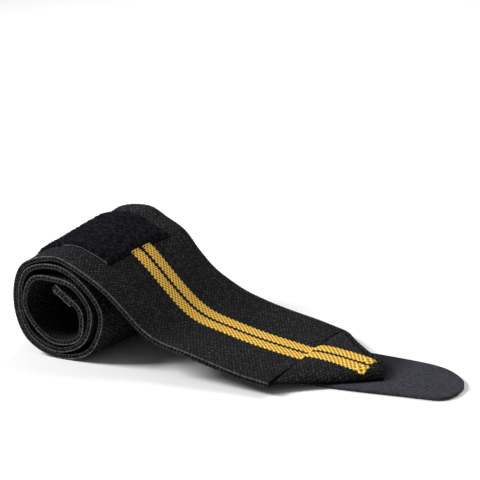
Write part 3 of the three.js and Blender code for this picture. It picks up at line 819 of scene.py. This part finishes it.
def stripe_on_tip(band, sizes, middle):
    """A stripe on the tip: its grids, on the tip's own heights, with larger knots at the sewn end. Its
    middle follows the pair's, and it is held off the tip's near edge."""
    rows = np.linspace(0.1, STRIPES_END, 150)
    table = band.tip_rows(rows)
    near, far, pair = (table[:, column] * band.width for column in (NEAR_ACROSS, FAR_ACROSS, PAIR_MIDDLE))
    line_y = pair + middle - TIP[0][PAIR_MIDDLE] * band.width
    share = (line_y - near) / (far - near)
    line_x = (table[:, NEAR_ALONG] * (1 - share) + table[:, FAR_ALONG] * share) * TIP_LENGTH
    distance = np.concatenate([[0], np.cumsum(np.hypot(np.diff(line_x), np.diff(line_y)))])
    offsets, section = stripe_offsets(sizes, distance)
    heading = unit(np.stack([np.gradient(line_x), np.gradient(line_y)], axis=-1))
    x = line_x[:, None] - offsets * heading[:, 1:]
    y = np.maximum(line_y[:, None] + offsets * heading[:, :1], near[:, None] + TIP_MARGIN)
    share = np.clip((y - near[:, None]) / (far - near)[:, None], 0, 1)
    low = band.tip_heights(rows, table, share)[0] - TIP_STRIPE_BURIED

    knotted = smooth((distance - distance[-1] + KNOTTED) / MM)[:, None]
    pitch, span = sizes.scale_pitch, sizes.stripe_width / SCALES_ABREAST
    fine = scales(distance[:, None], offsets, pitch, span)
    coarse = scales(distance[:, None], offsets, pitch * KNOT_SPREAD, span * KNOT_SPREAD)
    relief = fine * (1 - knotted) + knotted * coarse
    thick = section * (TIP_STRIPE_BODY + (SCALE_HEIGHT + KNOT_RISE * knotted) * relief)
    upper = np.stack([x, y, low + thick], axis=-1) + ORIGIN
    return upper, np.stack([x, y, low], axis=-1) + ORIGIN, cloth_places(distance[:, None], offsets, knotted)


def knit_stripe(sizes, colours, name, node, middle):
    """One stripe as two slabs, on the run and on the tip. Its top has scales, a staggered lattice of the
    product of two cosines, and its edges swell and shrink with the same pitch."""
    band = Band(sizes)
    yarn = bpy.data.materials.get("Stripe yarn") or stripe_yarn(sizes, colours)
    points, faces, places, count = [], [], [], 0
    for upper, lower, cloth in (stripe_on_run(band, sizes, middle), stripe_on_tip(band, sizes, middle)):
        slab_points, slab_faces = slab(upper, lower)
        points.append(slab_points)
        faces.append(slab_faces + count)
        places.append(cloth)
        count += len(slab_points)
    return make_piece(
        name, np.vstack(points), np.vstack(faces), yarn, np.vstack(places), (node,)
    )


def patch_edges(sizes):
    """Where the patch's near and far edges lie across the band."""
    middle = sizes.band_width / 2
    return middle - sizes.patch_width / 2, middle + sizes.patch_width / 2


def pile_heap(walked, across):
    """How unevenly the pile lies: the sum of 24 seeded waves, each the cosine of a wave number times the
    distance in its own direction plus a phase, scaled to one standard deviation of PILE_HEAP."""
    random = np.random.default_rng(11)
    heap = np.zeros((len(walked), len(across)))
    for _ in range(24):
        angle, phase = random.uniform(0, 2 * math.pi, 2)
        wave = 2 * math.pi / random.uniform(*PILE_WAVES)
        heap += np.cos(wave * (math.cos(angle) * walked[:, None] + math.sin(angle) * across[None]) + phase)
    return np.clip(PILE_HEAP * heap / heap.std(), -PILE_HEAP_LIMIT, PILE_HEAP_LIMIT)


def pile_patch(sizes, colours):
    """The fuzzy patch on the outermost turn: a slab with a heaped top that thins out at the edges by a
    quarter circle, under a pile of small thread loops."""
    band = Band(sizes)
    walked = np.arange(band.distance(PATCH_START), band.distance(PATCH_END), 0.45 * MM)
    knots = band.knots_at(walked)
    across = edge_columns(sizes.patch_width, 100, 0.6 * MM)
    first = patch_edges(sizes)[0]
    ends = np.clip(np.minimum(walked - walked[0], walked[-1] - walked) / PILE_EDGE, 0, 1)[:, None]
    sides = np.clip(np.minimum(across, sizes.patch_width - across) / PILE_EDGE, 0, 1)[None]
    inside = np.minimum(ends, sides)
    inward = np.sqrt(1 - (1 - inside) ** 2)
    edge = (0.25 + 0.75 * inward) * (inside > 0)
    low = band.half + 0.02 * MM
    height = low + edge * (sizes.patch_thickness + pile_heap(walked, across) * inward)
    points, faces = slab(band.points(knots, across + first, height), band.points(knots, across + first, low))
    fleece = loop_fleece(colours)
    places = cloth_places(walked[:, None], across[None])
    piece = make_piece("pile_patch", points, faces, fleece, places, ("loop_patch",))
    loops = pile_loops(band, sizes, fleece, walked[0], walked[-1])
    return piece


def pile_loops(band, sizes, fleece, start, end):
    """Small loops of thread standing in the pile: a little over half a circle of three-sided tube each,
    turned and leaning at random."""
    random = np.random.default_rng(5)
    count = sizes.pile_count
    walked = random.uniform(start + 0.5 * MM, end - 0.5 * MM, count)
    across = patch_edges(sizes)[0] + random.uniform(0.3 * MM, sizes.patch_width - 0.3 * MM, count)
    knots = band.knots_at(walked)
    near, far = (catmull_rom(edge, knots) for edge in band.edges)
    share = (across / band.width)[:, None]
    out = band.normal(knots, [band.width / 2])[:, 0]
    over = unit(far - near)
    turn = random.uniform(0, math.pi, count)[:, None]
    lean = random.normal(0, 0.35, count)[:, None]
    flat = np.cos(turn) * over + np.sin(turn) * unit(np.cross(over, out))
    up = unit(out + lean * unit(np.cross(flat, out)))
    reach = random.uniform(*PILE_LOOP_RADII, count)[:, None, None]
    lift = band.half + sizes.patch_thickness - random.uniform(*PILE_LOOP_SUNK, count)
    foot = near * (1 - share) + far * share + lift[:, None] * out
    t = np.linspace(-0.15 * math.pi, 1.15 * math.pi, 6)[None, :, None]
    radial = np.cos(t) * flat[:, None] + np.sin(t) * up[:, None]
    aside = unit(np.cross(up, flat))[:, None, None]
    around = np.linspace(0, 2 * math.pi, 3, endpoint=False)[None, None, :, None]
    ring = np.cos(around) * radial[:, :, None] + np.sin(around) * aside
    points, faces = tubes((foot[:, None] + reach * radial)[:, :, None] + PILE_THREAD * ring)
    return make_piece("pile_loops", points, faces, fleece)


def lay_tongue(sizes, colours):
    """The fastening tongue: lines across between its two edge curves, crowded towards its round end by a
    power of the way left, with a rounded rim and a faint wave, the product of two sines."""
    at = 1 - (1 - np.linspace(0, 1, 90)) ** 1.6
    near, far = tongue_edges(at)
    share = edge_columns(1.0, 40, TONGUE_RIM)
    plan = near[:, None] * (1 - share[None, :, None]) + far[:, None] * share[None, :, None]
    x, y = plan[..., 0], plan[..., 1]
    rim = rounded(share, 1.0, TONGUE_RIM)[None] * np.sqrt(smooth((1 - at) / 0.02 + 0.15))[:, None]
    thick = sizes.tongue_thickness
    length, width = TONGUE_WAVES
    wave = TONGUE_WAVE * np.sin(x * 2 * math.pi / length) * np.sin(y * 2 * math.pi / width)
    upper = plan + ORIGIN
    upper[..., 2] = thick * (0.5 + 0.5 * rim) + np.minimum(wave, 0) * rim
    lower = plan + ORIGIN
    lower[..., 2] = thick * (0.5 - 0.5 * rim)
    # painted shadow of the tip on the tongue, beside its end
    painted_shadow = smooth((TIP_LENGTH * PAINTED_SHADOW_END - x) / (14 * MM)) * smooth((y - PAINTED_SHADOW_EDGE) / (8 * MM))
    points, faces = slab(upper, lower)
    piece = make_piece(
        "brushed_tongue", points, faces, tongue_cloth(colours),
        cloth_places(x, y, painted_shadow), ("hook_tongue",),
    )
    return piece


def loop_path(sizes, count):
    """The thumb loop's middle line, with the way out of its outer face and the way across the tape. It is
    sewn flat to the hem, runs out past the far edge, turns there and comes back over its start."""
    band = Band(sizes)
    length = LOOP_SEWN + LOOP_REACH
    half = sizes.tape_thickness / 2
    layer = half + CLEARANCE / 2
    free = [(a * length, -layer + b * LOOP_OPENING) for a, b in THUMB_LOOP]
    free[-1] = (free[-1][0], free[-1][1] + layer)
    parting = LOOP_PARTING * length
    flat = [(half, -layer), (parting, -layer), *free, (parting, layer), (half, layer)]
    flat = np.array([(x, y, 0.0) for x, y in flat])
    line = catmull_rom(flat, np.linspace(0, len(flat) - 1, count))
    knot = np.array([0.5])
    inward = -band.normal(knot, [band.width / 2])[0, 0]
    over = np.array([0.0, 1.0, 0.0])
    across = unit(np.cross(over, inward))
    seat = band.centre(knot, [band.width - LOOP_SEWN])[0, 0]
    seat = seat + inward * (band.half + HEM_THICKNESS + CLEARANCE + half + layer)
    path = seat + line[:, :1] * over + line[:, 1:2] * inward
    out = unit(np.cross(across, unit(np.gradient(path, axis=0))))
    return path, out, across


def sew_thumb_loop(sizes, colours):
    """The tape: a flat oval profile carried along the loop's path, cupped a little where it hangs free by
    the square of the distance from its middle. Its grid runs the other way round than the band's, so the
    faces are turned over."""
    path, out, across = loop_path(sizes, 180)
    walked = np.concatenate([[0], np.cumsum(np.linalg.norm(np.diff(path, axis=0), axis=1))])
    columns = edge_columns(sizes.tape_width, 24, TAPE_EDGE)
    offset = columns - sizes.tape_width / 2
    free = np.sin(math.pi * walked / walked[-1])[:, None]
    cup = TAPE_CUP * free * (offset[None] / offset.max()) ** 2
    middle = path[:, None] + offset[None, :, None] * across + cup[..., None] * out[:, None]
    half = sizes.tape_thickness / 2 * rounded(columns, sizes.tape_width, TAPE_EDGE)[None, :, None]
    points, faces = slab(middle + half * out[:, None], middle - half * out[:, None])
    piece = make_piece(
        "thumb_tape", points, faces[:, ::-1], tape_cloth(colours),
        cloth_places(walked[:, None], columns[None]), ("thumb_loop",),
    )
    return piece


# Seams

def sew_row(name, sizes, thread, path, ahead, out):
    """A row of stitches at the points of a path."""
    points, faces = stitches(path, ahead, out, sizes.stitch_length, sizes.thread_radius)
    make_piece(name, points, faces, thread)


def sew_along(name, sizes, thread, start, end, across, lift):
    """A row of stitches along the band, lifted off its centre surface."""
    band = Band(sizes)
    walked = np.arange(start, end, sizes.stitch_length * STITCH_SPACING)
    knots = band.knots_at(walked)
    out = band.normal(knots, [across])[:, 0]
    centre = band.centre(knots, [across])[:, 0]
    ahead = unit(band.centre(band.knots_at(walked + MM), [across])[:, 0] - centre)
    sew_row(name, sizes, thread, centre + lift * out, ahead, out)


def sew_over(name, sizes, thread, knot, start, end, lift):
    """A straight row of stitches over the band at one knot, lifted off its centre surface."""
    band = Band(sizes)
    across = np.arange(start, end, sizes.stitch_length * STITCH_SPACING)
    knots = np.array([knot])
    out = band.normal(knots, across)[0]
    path = band.centre(knots, across)[0] + lift * out
    ahead = np.broadcast_to(unit(path[-1] - path[0]), path.shape)
    sew_row(name, sizes, thread, path, ahead, out)


def sew_patch(sizes, thread, start, end):
    """A row of stitches inside each of the patch's four edges."""
    near, far = patch_edges(sizes)
    height = sizes.band_thickness / 2 + sizes.patch_thickness * 0.55
    sew_along("stitches_patch_near", sizes, thread, start, end, near + PATCH_SEAM_INSET, height)
    sew_along("stitches_patch_far", sizes, thread, start, end, far - PATCH_SEAM_INSET, height)
    sew_over("stitches_patch_end", sizes, thread, PATCH_END - 0.08, near + MM, far, height)
    sew_over("stitches_patch_start", sizes, thread, PATCH_START + 0.1, near + MM, far, height)


def lay_crease_shadow_cord(sizes, thread):
    """The knotted near-black cord across the crease, a dark line put there as painted shade of the crease. It
    wanders by the product of two sines, rises off the band over the far half and sinks again at the far
    corner, where the tip covers it."""
    band = Band(sizes)
    share = np.linspace(0.01, 0.965, 240)
    wander = CREASE_CORD_WANDER * np.sin(2 * math.pi * share * 7) * np.sin(2 * math.pi * share * 2.3)
    path = np.stack([TIP[0][FAR_ALONG] * TIP_LENGTH * share + wander, share * band.width, 0 * share], axis=-1)
    path += ORIGIN
    lift = (0.95 + 0.95 * smooth((share - 0.58) / 0.1) - 1.1 * smooth((share - 0.88) / 0.1)) * band.half
    path[:, 2] = band.centre(np.array([LAST_KNOT]), share * band.width)[0, :, 2] + lift
    up = np.broadcast_to([0.0, 0.0, 1.0], path.shape)
    ahead = np.broadcast_to([1.0, 0.0, 0.0], path.shape)
    points, faces = beads(path, up, ahead, share * band.width, CREASE_CORD_RADIUS, 0.5, CREASE_CORD_PITCH)
    make_piece("crease_shadow_cord", points, faces, thread)


def whip_patch_edge(sizes, start, end):
    """The selvedge yarn along the last part of the patch's near edge, where it shows on the crest."""
    band = Band(sizes)
    near = patch_edges(sizes)[0]
    walked = np.arange(start * 0.3 + end * 0.7, end + 0.6 * MM, 0.25 * MM)
    knots = band.knots_at(walked)
    out = band.normal(knots, [near])[:, 0]
    path = band.centre(knots, [near])[:, 0] + (band.half + 0.35 * MM) * out
    side = unit(np.cross(np.gradient(path, axis=0), out))
    points, faces = beads(path, out, side, walked, PATCH_YARN_RADIUS, 0.8, sizes.bead_pitch)
    make_piece("patch_edge", points, faces, bpy.data.materials["Selvedge yarn"])


def sew_patch_end(sizes, thread, end):
    """The cord over the band just past the patch's end, half sunk in the cloth."""
    band = Band(sizes)
    across = np.arange(*patch_edges(sizes), 0.25 * MM)
    knots = band.knots_at(np.array([end + PATCH_CORD_PLACE]))
    centre, out = band.centre(knots, across)[0], band.normal(knots, across)[0]
    side = unit(np.cross(np.gradient(centre, axis=0), out))
    path = centre + (band.half + 0.1 * MM) * out
    points, faces = beads(path, out, side, across, PATCH_CORD_RADIUS, 0.75, sizes.stitch_length)
    make_piece("seam_patch_end", points, faces, thread)


def sew_tip_edge(sizes, thread):
    """The row of stitches in the groove along the tip's far edge."""
    band = Band(sizes)
    rows = np.linspace(0.8, 5.0, 15)
    table = band.tip_rows(rows)
    wide = (table[:, FAR_ACROSS, None] - table[:, NEAR_ACROSS, None]) * band.width
    share = 1 - GROOVE_INSET / wide
    x, y = band.tip_plan(table, share)
    top = band.tip_heights(rows, table, share)[0]
    path = np.hstack([x, y, top + 0.1 * MM]) + ORIGIN
    out = unit(np.tile([0.0, 0.35, 1.0], (len(rows), 1)))
    sew_row("stitches_tip_far", sizes, thread, path, unit(np.gradient(path, axis=0)), out)


def sew_seams(sizes, colours):
    """Every seam: round the patch, across the hem and along the tip's far edge, with the cord of painted
    shade across the crease.
    """
    band = Band(sizes)
    thread = sewing_thread(colours)
    start, end = band.distance(PATCH_START) + 1.6 * MM, band.distance(PATCH_END) - 1.2 * MM
    sew_patch(sizes, thread, start, end)
    hem = float(band.knots_at(HEM_LENGTH - HEM_SEAM_INSET))
    sew_over("stitches_hem", sizes, thread, hem, 2 * MM, band.width - 2 * MM, band.half)
    lay_crease_shadow_cord(sizes, thread)
    whip_patch_edge(sizes, start, end)
    sew_patch_end(sizes, thread, end)
    sew_tip_edge(sizes, thread)


# The stage

def hang_light(name, place, target, size, power):
    """A square area light at a place, turned so that it shines at its target."""
    light = bpy.data.lights.new(name, "AREA")
    light.size = size
    light.energy = power
    lamp = bpy.data.objects.new(name, light)
    lamp.location = place
    x, y, z = np.array(target) - np.array(place)
    lamp.rotation_euler = (math.atan2(math.hypot(x, y), -z), 0, math.atan2(y, x) - math.pi / 2)
    bpy.context.scene.collection.objects.link(lamp)


def lay_floor(stage):
    """A pale square floor just under the wrap."""
    mesh = bpy.data.meshes.new("floor")
    signs = ((-1, -1), (1, -1), (1, 1), (-1, 1))
    corners = [(x * FLOOR_REACH, y * FLOOR_REACH, FLOOR_LEVEL) for x, y in signs]
    mesh.from_pydata(corners, [], [(0, 1, 2, 3)])
    floor = bpy.data.objects.new("floor", mesh)
    bpy.context.scene.collection.objects.link(floor)
    paint = Paint("Pale floor", 0.9)
    paint.colour((*stage.floor_colour, 1))
    mesh.materials.append(paint.material)


def set_stage(stage):
    """A pale floor, a white surround, a soft key light from above on the left, a light from behind, one
    that faces away and whitens the floor behind the wrap, and the photograph's camera."""
    scene = bpy.context.scene
    scene.view_settings.view_transform = "Standard"
    lay_floor(stage)

    world = bpy.data.worlds.new("Studio")
    world.use_nodes = True
    background = world.node_tree.nodes["Background"]
    background.inputs["Color"].default_value = (1, 1, 1, 1)
    background.inputs["Strength"].default_value = stage.surround
    scene.world = world

    hang_light("key_light", KEY_PLACE, WRAP_MIDDLE, KEY_SIZE, stage.key_power)
    hang_light("rim_light", RIM_PLACE, WRAP_MIDDLE, RIM_SIZE, stage.rim_power)
    hang_light("floor_light", FLOOR_LIGHT_PLACE, FLOOR_LIGHT_TARGET, FLOOR_LIGHT_SIZE, stage.floor_power)

    camera = bpy.data.objects.new("camera", bpy.data.cameras.new("camera"))
    camera.data.lens = CAMERA_LENS
    camera.data.sensor_width = CAMERA_SENSOR
    camera.data.clip_start = 0.01
    camera.location = ORIGIN + np.array(CAMERA_PLACE)
    camera.rotation_euler = (math.pi / 2 - CAMERA_DOWN, 0, CAMERA_AZIMUTH)
    scene.collection.objects.link(camera)
    scene.camera = camera


# The add-on

def length_prop(name, description, default):
    """A length in metres."""
    return bpy.props.FloatProperty(
        name=name, description=description, default=default, min=0.0, precision=5,
        unit="LENGTH", subtype="DISTANCE",
    )


def colour_prop(name, description, default):
    """A linear colour."""
    return bpy.props.FloatVectorProperty(
        name=name, description=description, default=default, min=0.0, max=1.0, size=3, subtype="COLOR"
    )


class WrapSizes(bpy.types.PropertyGroup):
    """Sizes of the cloth, yarn and stitches."""

    band_width: length_prop("Band width", "Width of the elastic band", 80 * MM)
    band_thickness: length_prop("Band thickness", "Thickness of one layer", 1.8 * MM)
    weave_pitch: length_prop("Weave pitch", "Distance between two floats along the band", 1.6 * MM)
    bead_pitch: length_prop("Selvedge pitch", "Distance between two loops of the selvedge", 1.5 * MM)
    bead_radius: length_prop("Selvedge radius", "Half the height of the selvedge yarn", 0.34 * MM)
    stripe_width: length_prop("Stripe width", "Width of one stripe", 6.65 * MM)
    stripe_gap: length_prop("Stripe gap", "Ground between the two stripes", 2.3 * MM)
    scallop: length_prop("Stripe scallop", "How far the scales stand out at a stripe's edges", 1.1 * MM)
    scale_pitch: length_prop("Scale pitch", "Length of one scale of a stripe", 2.1 * MM)
    patch_width: length_prop("Patch width", "Width of the fuzzy patch", 50 * MM)
    patch_thickness: length_prop("Patch thickness", "Thickness of the fuzzy patch", 1.3 * MM)
    tongue_thickness: length_prop("Tongue thickness", "Thickness of the fastening tongue", 1.2 * MM)
    tape_width: length_prop("Tape width", "Width of the thumb loop's tape", 15 * MM)
    tape_thickness: length_prop("Tape thickness", "Thickness of the thumb loop's tape", 1.5 * MM)
    stitch_length: length_prop("Stitch length", "Length of one stitch", 1.9 * MM)
    thread_radius: length_prop("Thread radius", "Half the thickness of the sewing thread", 0.22 * MM)
    pile_count: bpy.props.IntProperty(
        name="Pile loops", description="How many thread loops stand in the patch", default=2200, min=10
    )


class WrapColours(bpy.types.PropertyGroup):
    """Colours of the yarns and cloths."""

    charcoal: colour_prop("Charcoal", "Raised floats of the band", (0.05, 0.05, 0.055))
    charcoal_shade: colour_prop("Charcoal shade", "Between the band's floats", (0.0015, 0.0015, 0.0019))
    selvedge: colour_prop("Selvedge", "Greyer yarn along the edges", (0.11, 0.111, 0.116))
    amber: colour_prop("Amber", "The stripes' yarn", (0.82, 0.42, 0.024))
    # amber_light is painted highlight on the scales' crowns; amber_shade and hole are painted shade between
    # them and in the knots' holes
    amber_light: colour_prop("Light amber", "The crowns of the stripes' scales", (0.97, 0.69, 0.15))
    amber_shade: colour_prop("Amber shade", "Between the stripes' scales", (0.17, 0.055, 0.003))
    hole: colour_prop("Holes", "Holes in the stripes' sewn ends", (0.06, 0.012, 0.004))
    fleece: colour_prop("Fleece", "Tops of the pile", (0.0165, 0.0145, 0.02))
    fleece_shade: colour_prop("Fleece shade", "Depths of the pile", (0.0025, 0.0024, 0.003))
    slate: colour_prop("Slate", "The tongue's brushed face", (0.053, 0.053, 0.067))
    slate_shade: colour_prop("Slate shade", "Grain of the tongue", (0.011, 0.011, 0.014))
    tape: colour_prop("Tape", "The thumb loop's ribs", (0.03, 0.03, 0.036))
    thread: colour_prop("Thread", "Sewing thread", (0.006, 0.006, 0.007))


class WrapStage(bpy.types.PropertyGroup):
    """Light and floor of the stage."""

    key_power: bpy.props.FloatProperty(
        name="Key light", description="Power of the key light", default=9.5, unit="POWER", min=0
    )
    rim_power: bpy.props.FloatProperty(
        name="Rim light", description="Power of the light from behind", default=4.5, unit="POWER", min=0
    )
    floor_power: bpy.props.FloatProperty(
        name="Floor light", description="Power of the floor's light", default=38.0, unit="POWER", min=0
    )
    surround: bpy.props.FloatProperty(
        name="Surround", description="Strength of the white surround", default=0.26, min=0, subtype="FACTOR"
    )
    floor_colour: colour_prop("Floor", "Colour of the floor", (0.92, 0.92, 0.92))


def settings():
    """The scene's sizes and colours."""
    scene = bpy.context.scene
    return scene.wrist_wrap_sizes, scene.wrist_wrap_colours


class WRAP_OT_band(bpy.types.Operator):
    """Weave the elastic band, rolled up and sloping down to its run"""

    bl_idname = "wrist_wrap.band"
    bl_label = "Band"

    def execute(self, context):
        weave_band(*settings())
        return {"FINISHED"}


class WRAP_OT_tip(bpy.types.Operator):
    """Fold the puffed, tapered tip"""

    bl_idname = "wrist_wrap.tip"
    bl_label = "Tip"

    def execute(self, context):
        fold_tip(*settings())
        return {"FINISHED"}


class WRAP_OT_selvedges(bpy.types.Operator):
    """Run the beaded selvedge yarns along both edges and the hem"""

    bl_idname = "wrist_wrap.selvedges"
    bl_label = "Selvedges"

    def execute(self, context):
        run_selvedges(*settings())
        return {"FINISHED"}


class WRAP_OT_stripes(bpy.types.Operator):
    """Knit the two stripes"""

    bl_idname = "wrist_wrap.stripes"
    bl_label = "Stripes"

    def execute(self, context):
        sizes, colours = settings()
        near, far = stripe_middles(sizes)
        knit_stripe(sizes, colours, "knit_stripe_near", "stripe_near", near)
        knit_stripe(sizes, colours, "knit_stripe_far", "stripe_far", far)
        return {"FINISHED"}


class WRAP_OT_patch(bpy.types.Operator):
    """Lay the fuzzy patch and its pile"""

    bl_idname = "wrist_wrap.patch"
    bl_label = "Patch"

    def execute(self, context):
        pile_patch(*settings())
        return {"FINISHED"}


class WRAP_OT_tongue(bpy.types.Operator):
    """Lay the fastening tongue"""

    bl_idname = "wrist_wrap.tongue"
    bl_label = "Tongue"

    def execute(self, context):
        lay_tongue(*settings())
        return {"FINISHED"}


class WRAP_OT_thumb_loop(bpy.types.Operator):
    """Sew the thumb loop's tape"""

    bl_idname = "wrist_wrap.thumb_loop"
    bl_label = "Thumb loop"

    def execute(self, context):
        sew_thumb_loop(*settings())
        return {"FINISHED"}


class WRAP_OT_seams(bpy.types.Operator):
    """Sew the rows of stitches"""

    bl_idname = "wrist_wrap.seams"
    bl_label = "Seams"

    def execute(self, context):
        sew_seams(*settings())
        return {"FINISHED"}


class WRAP_OT_stage(bpy.types.Operator):
    """Set the floor, the lights and the camera"""

    bl_idname = "wrist_wrap.stage"
    bl_label = "Stage"

    def execute(self, context):
        set_stage(context.scene.wrist_wrap_stage)
        return {"FINISHED"}


class WRAP_PT_panel(bpy.types.Panel):
    """The wrap's pieces and stage, in the sidebar"""

    bl_idname = "WRAP_PT_panel"
    bl_label = "Wrist wrap"
    bl_space_type = "VIEW_3D"
    bl_region_type = "UI"
    bl_category = "Wrist wrap"

    def draw(self, context):
        for operator in OPERATORS:
            self.layout.operator(operator.bl_idname)
        for group in (
            context.scene.wrist_wrap_sizes, context.scene.wrist_wrap_colours, context.scene.wrist_wrap_stage
        ):
            for name in group.__annotations__:
                self.layout.prop(group, name)


GROUPS = {
    "wrist_wrap_sizes": WrapSizes,
    "wrist_wrap_colours": WrapColours,
    "wrist_wrap_stage": WrapStage,
}
OPERATORS = (
    WRAP_OT_stage,
    WRAP_OT_tongue,
    WRAP_OT_band,
    WRAP_OT_tip,
    WRAP_OT_selvedges,
    WRAP_OT_stripes,
    WRAP_OT_patch,
    WRAP_OT_thumb_loop,
    WRAP_OT_seams,
)


def register():
    """Registers the classes and hangs the property groups on the scene."""
    for item in (*GROUPS.values(), *OPERATORS, WRAP_PT_panel):
        bpy.utils.register_class(item)
    for name, group in GROUPS.items():
        setattr(bpy.types.Scene, name, bpy.props.PointerProperty(type=group))


def unregister():
    """Takes them away again."""
    for name in GROUPS:
        delattr(bpy.types.Scene, name)
    for item in reversed((*GROUPS.values(), *OPERATORS, WRAP_PT_panel)):
        bpy.utils.unregister_class(item)


def main():
    """Builds everything in order."""
    register()
    for operator in OPERATORS:
        group, name = operator.bl_idname.split(".")
        getattr(getattr(bpy.ops, group), name)()


if __name__ == "__main__":
    main()
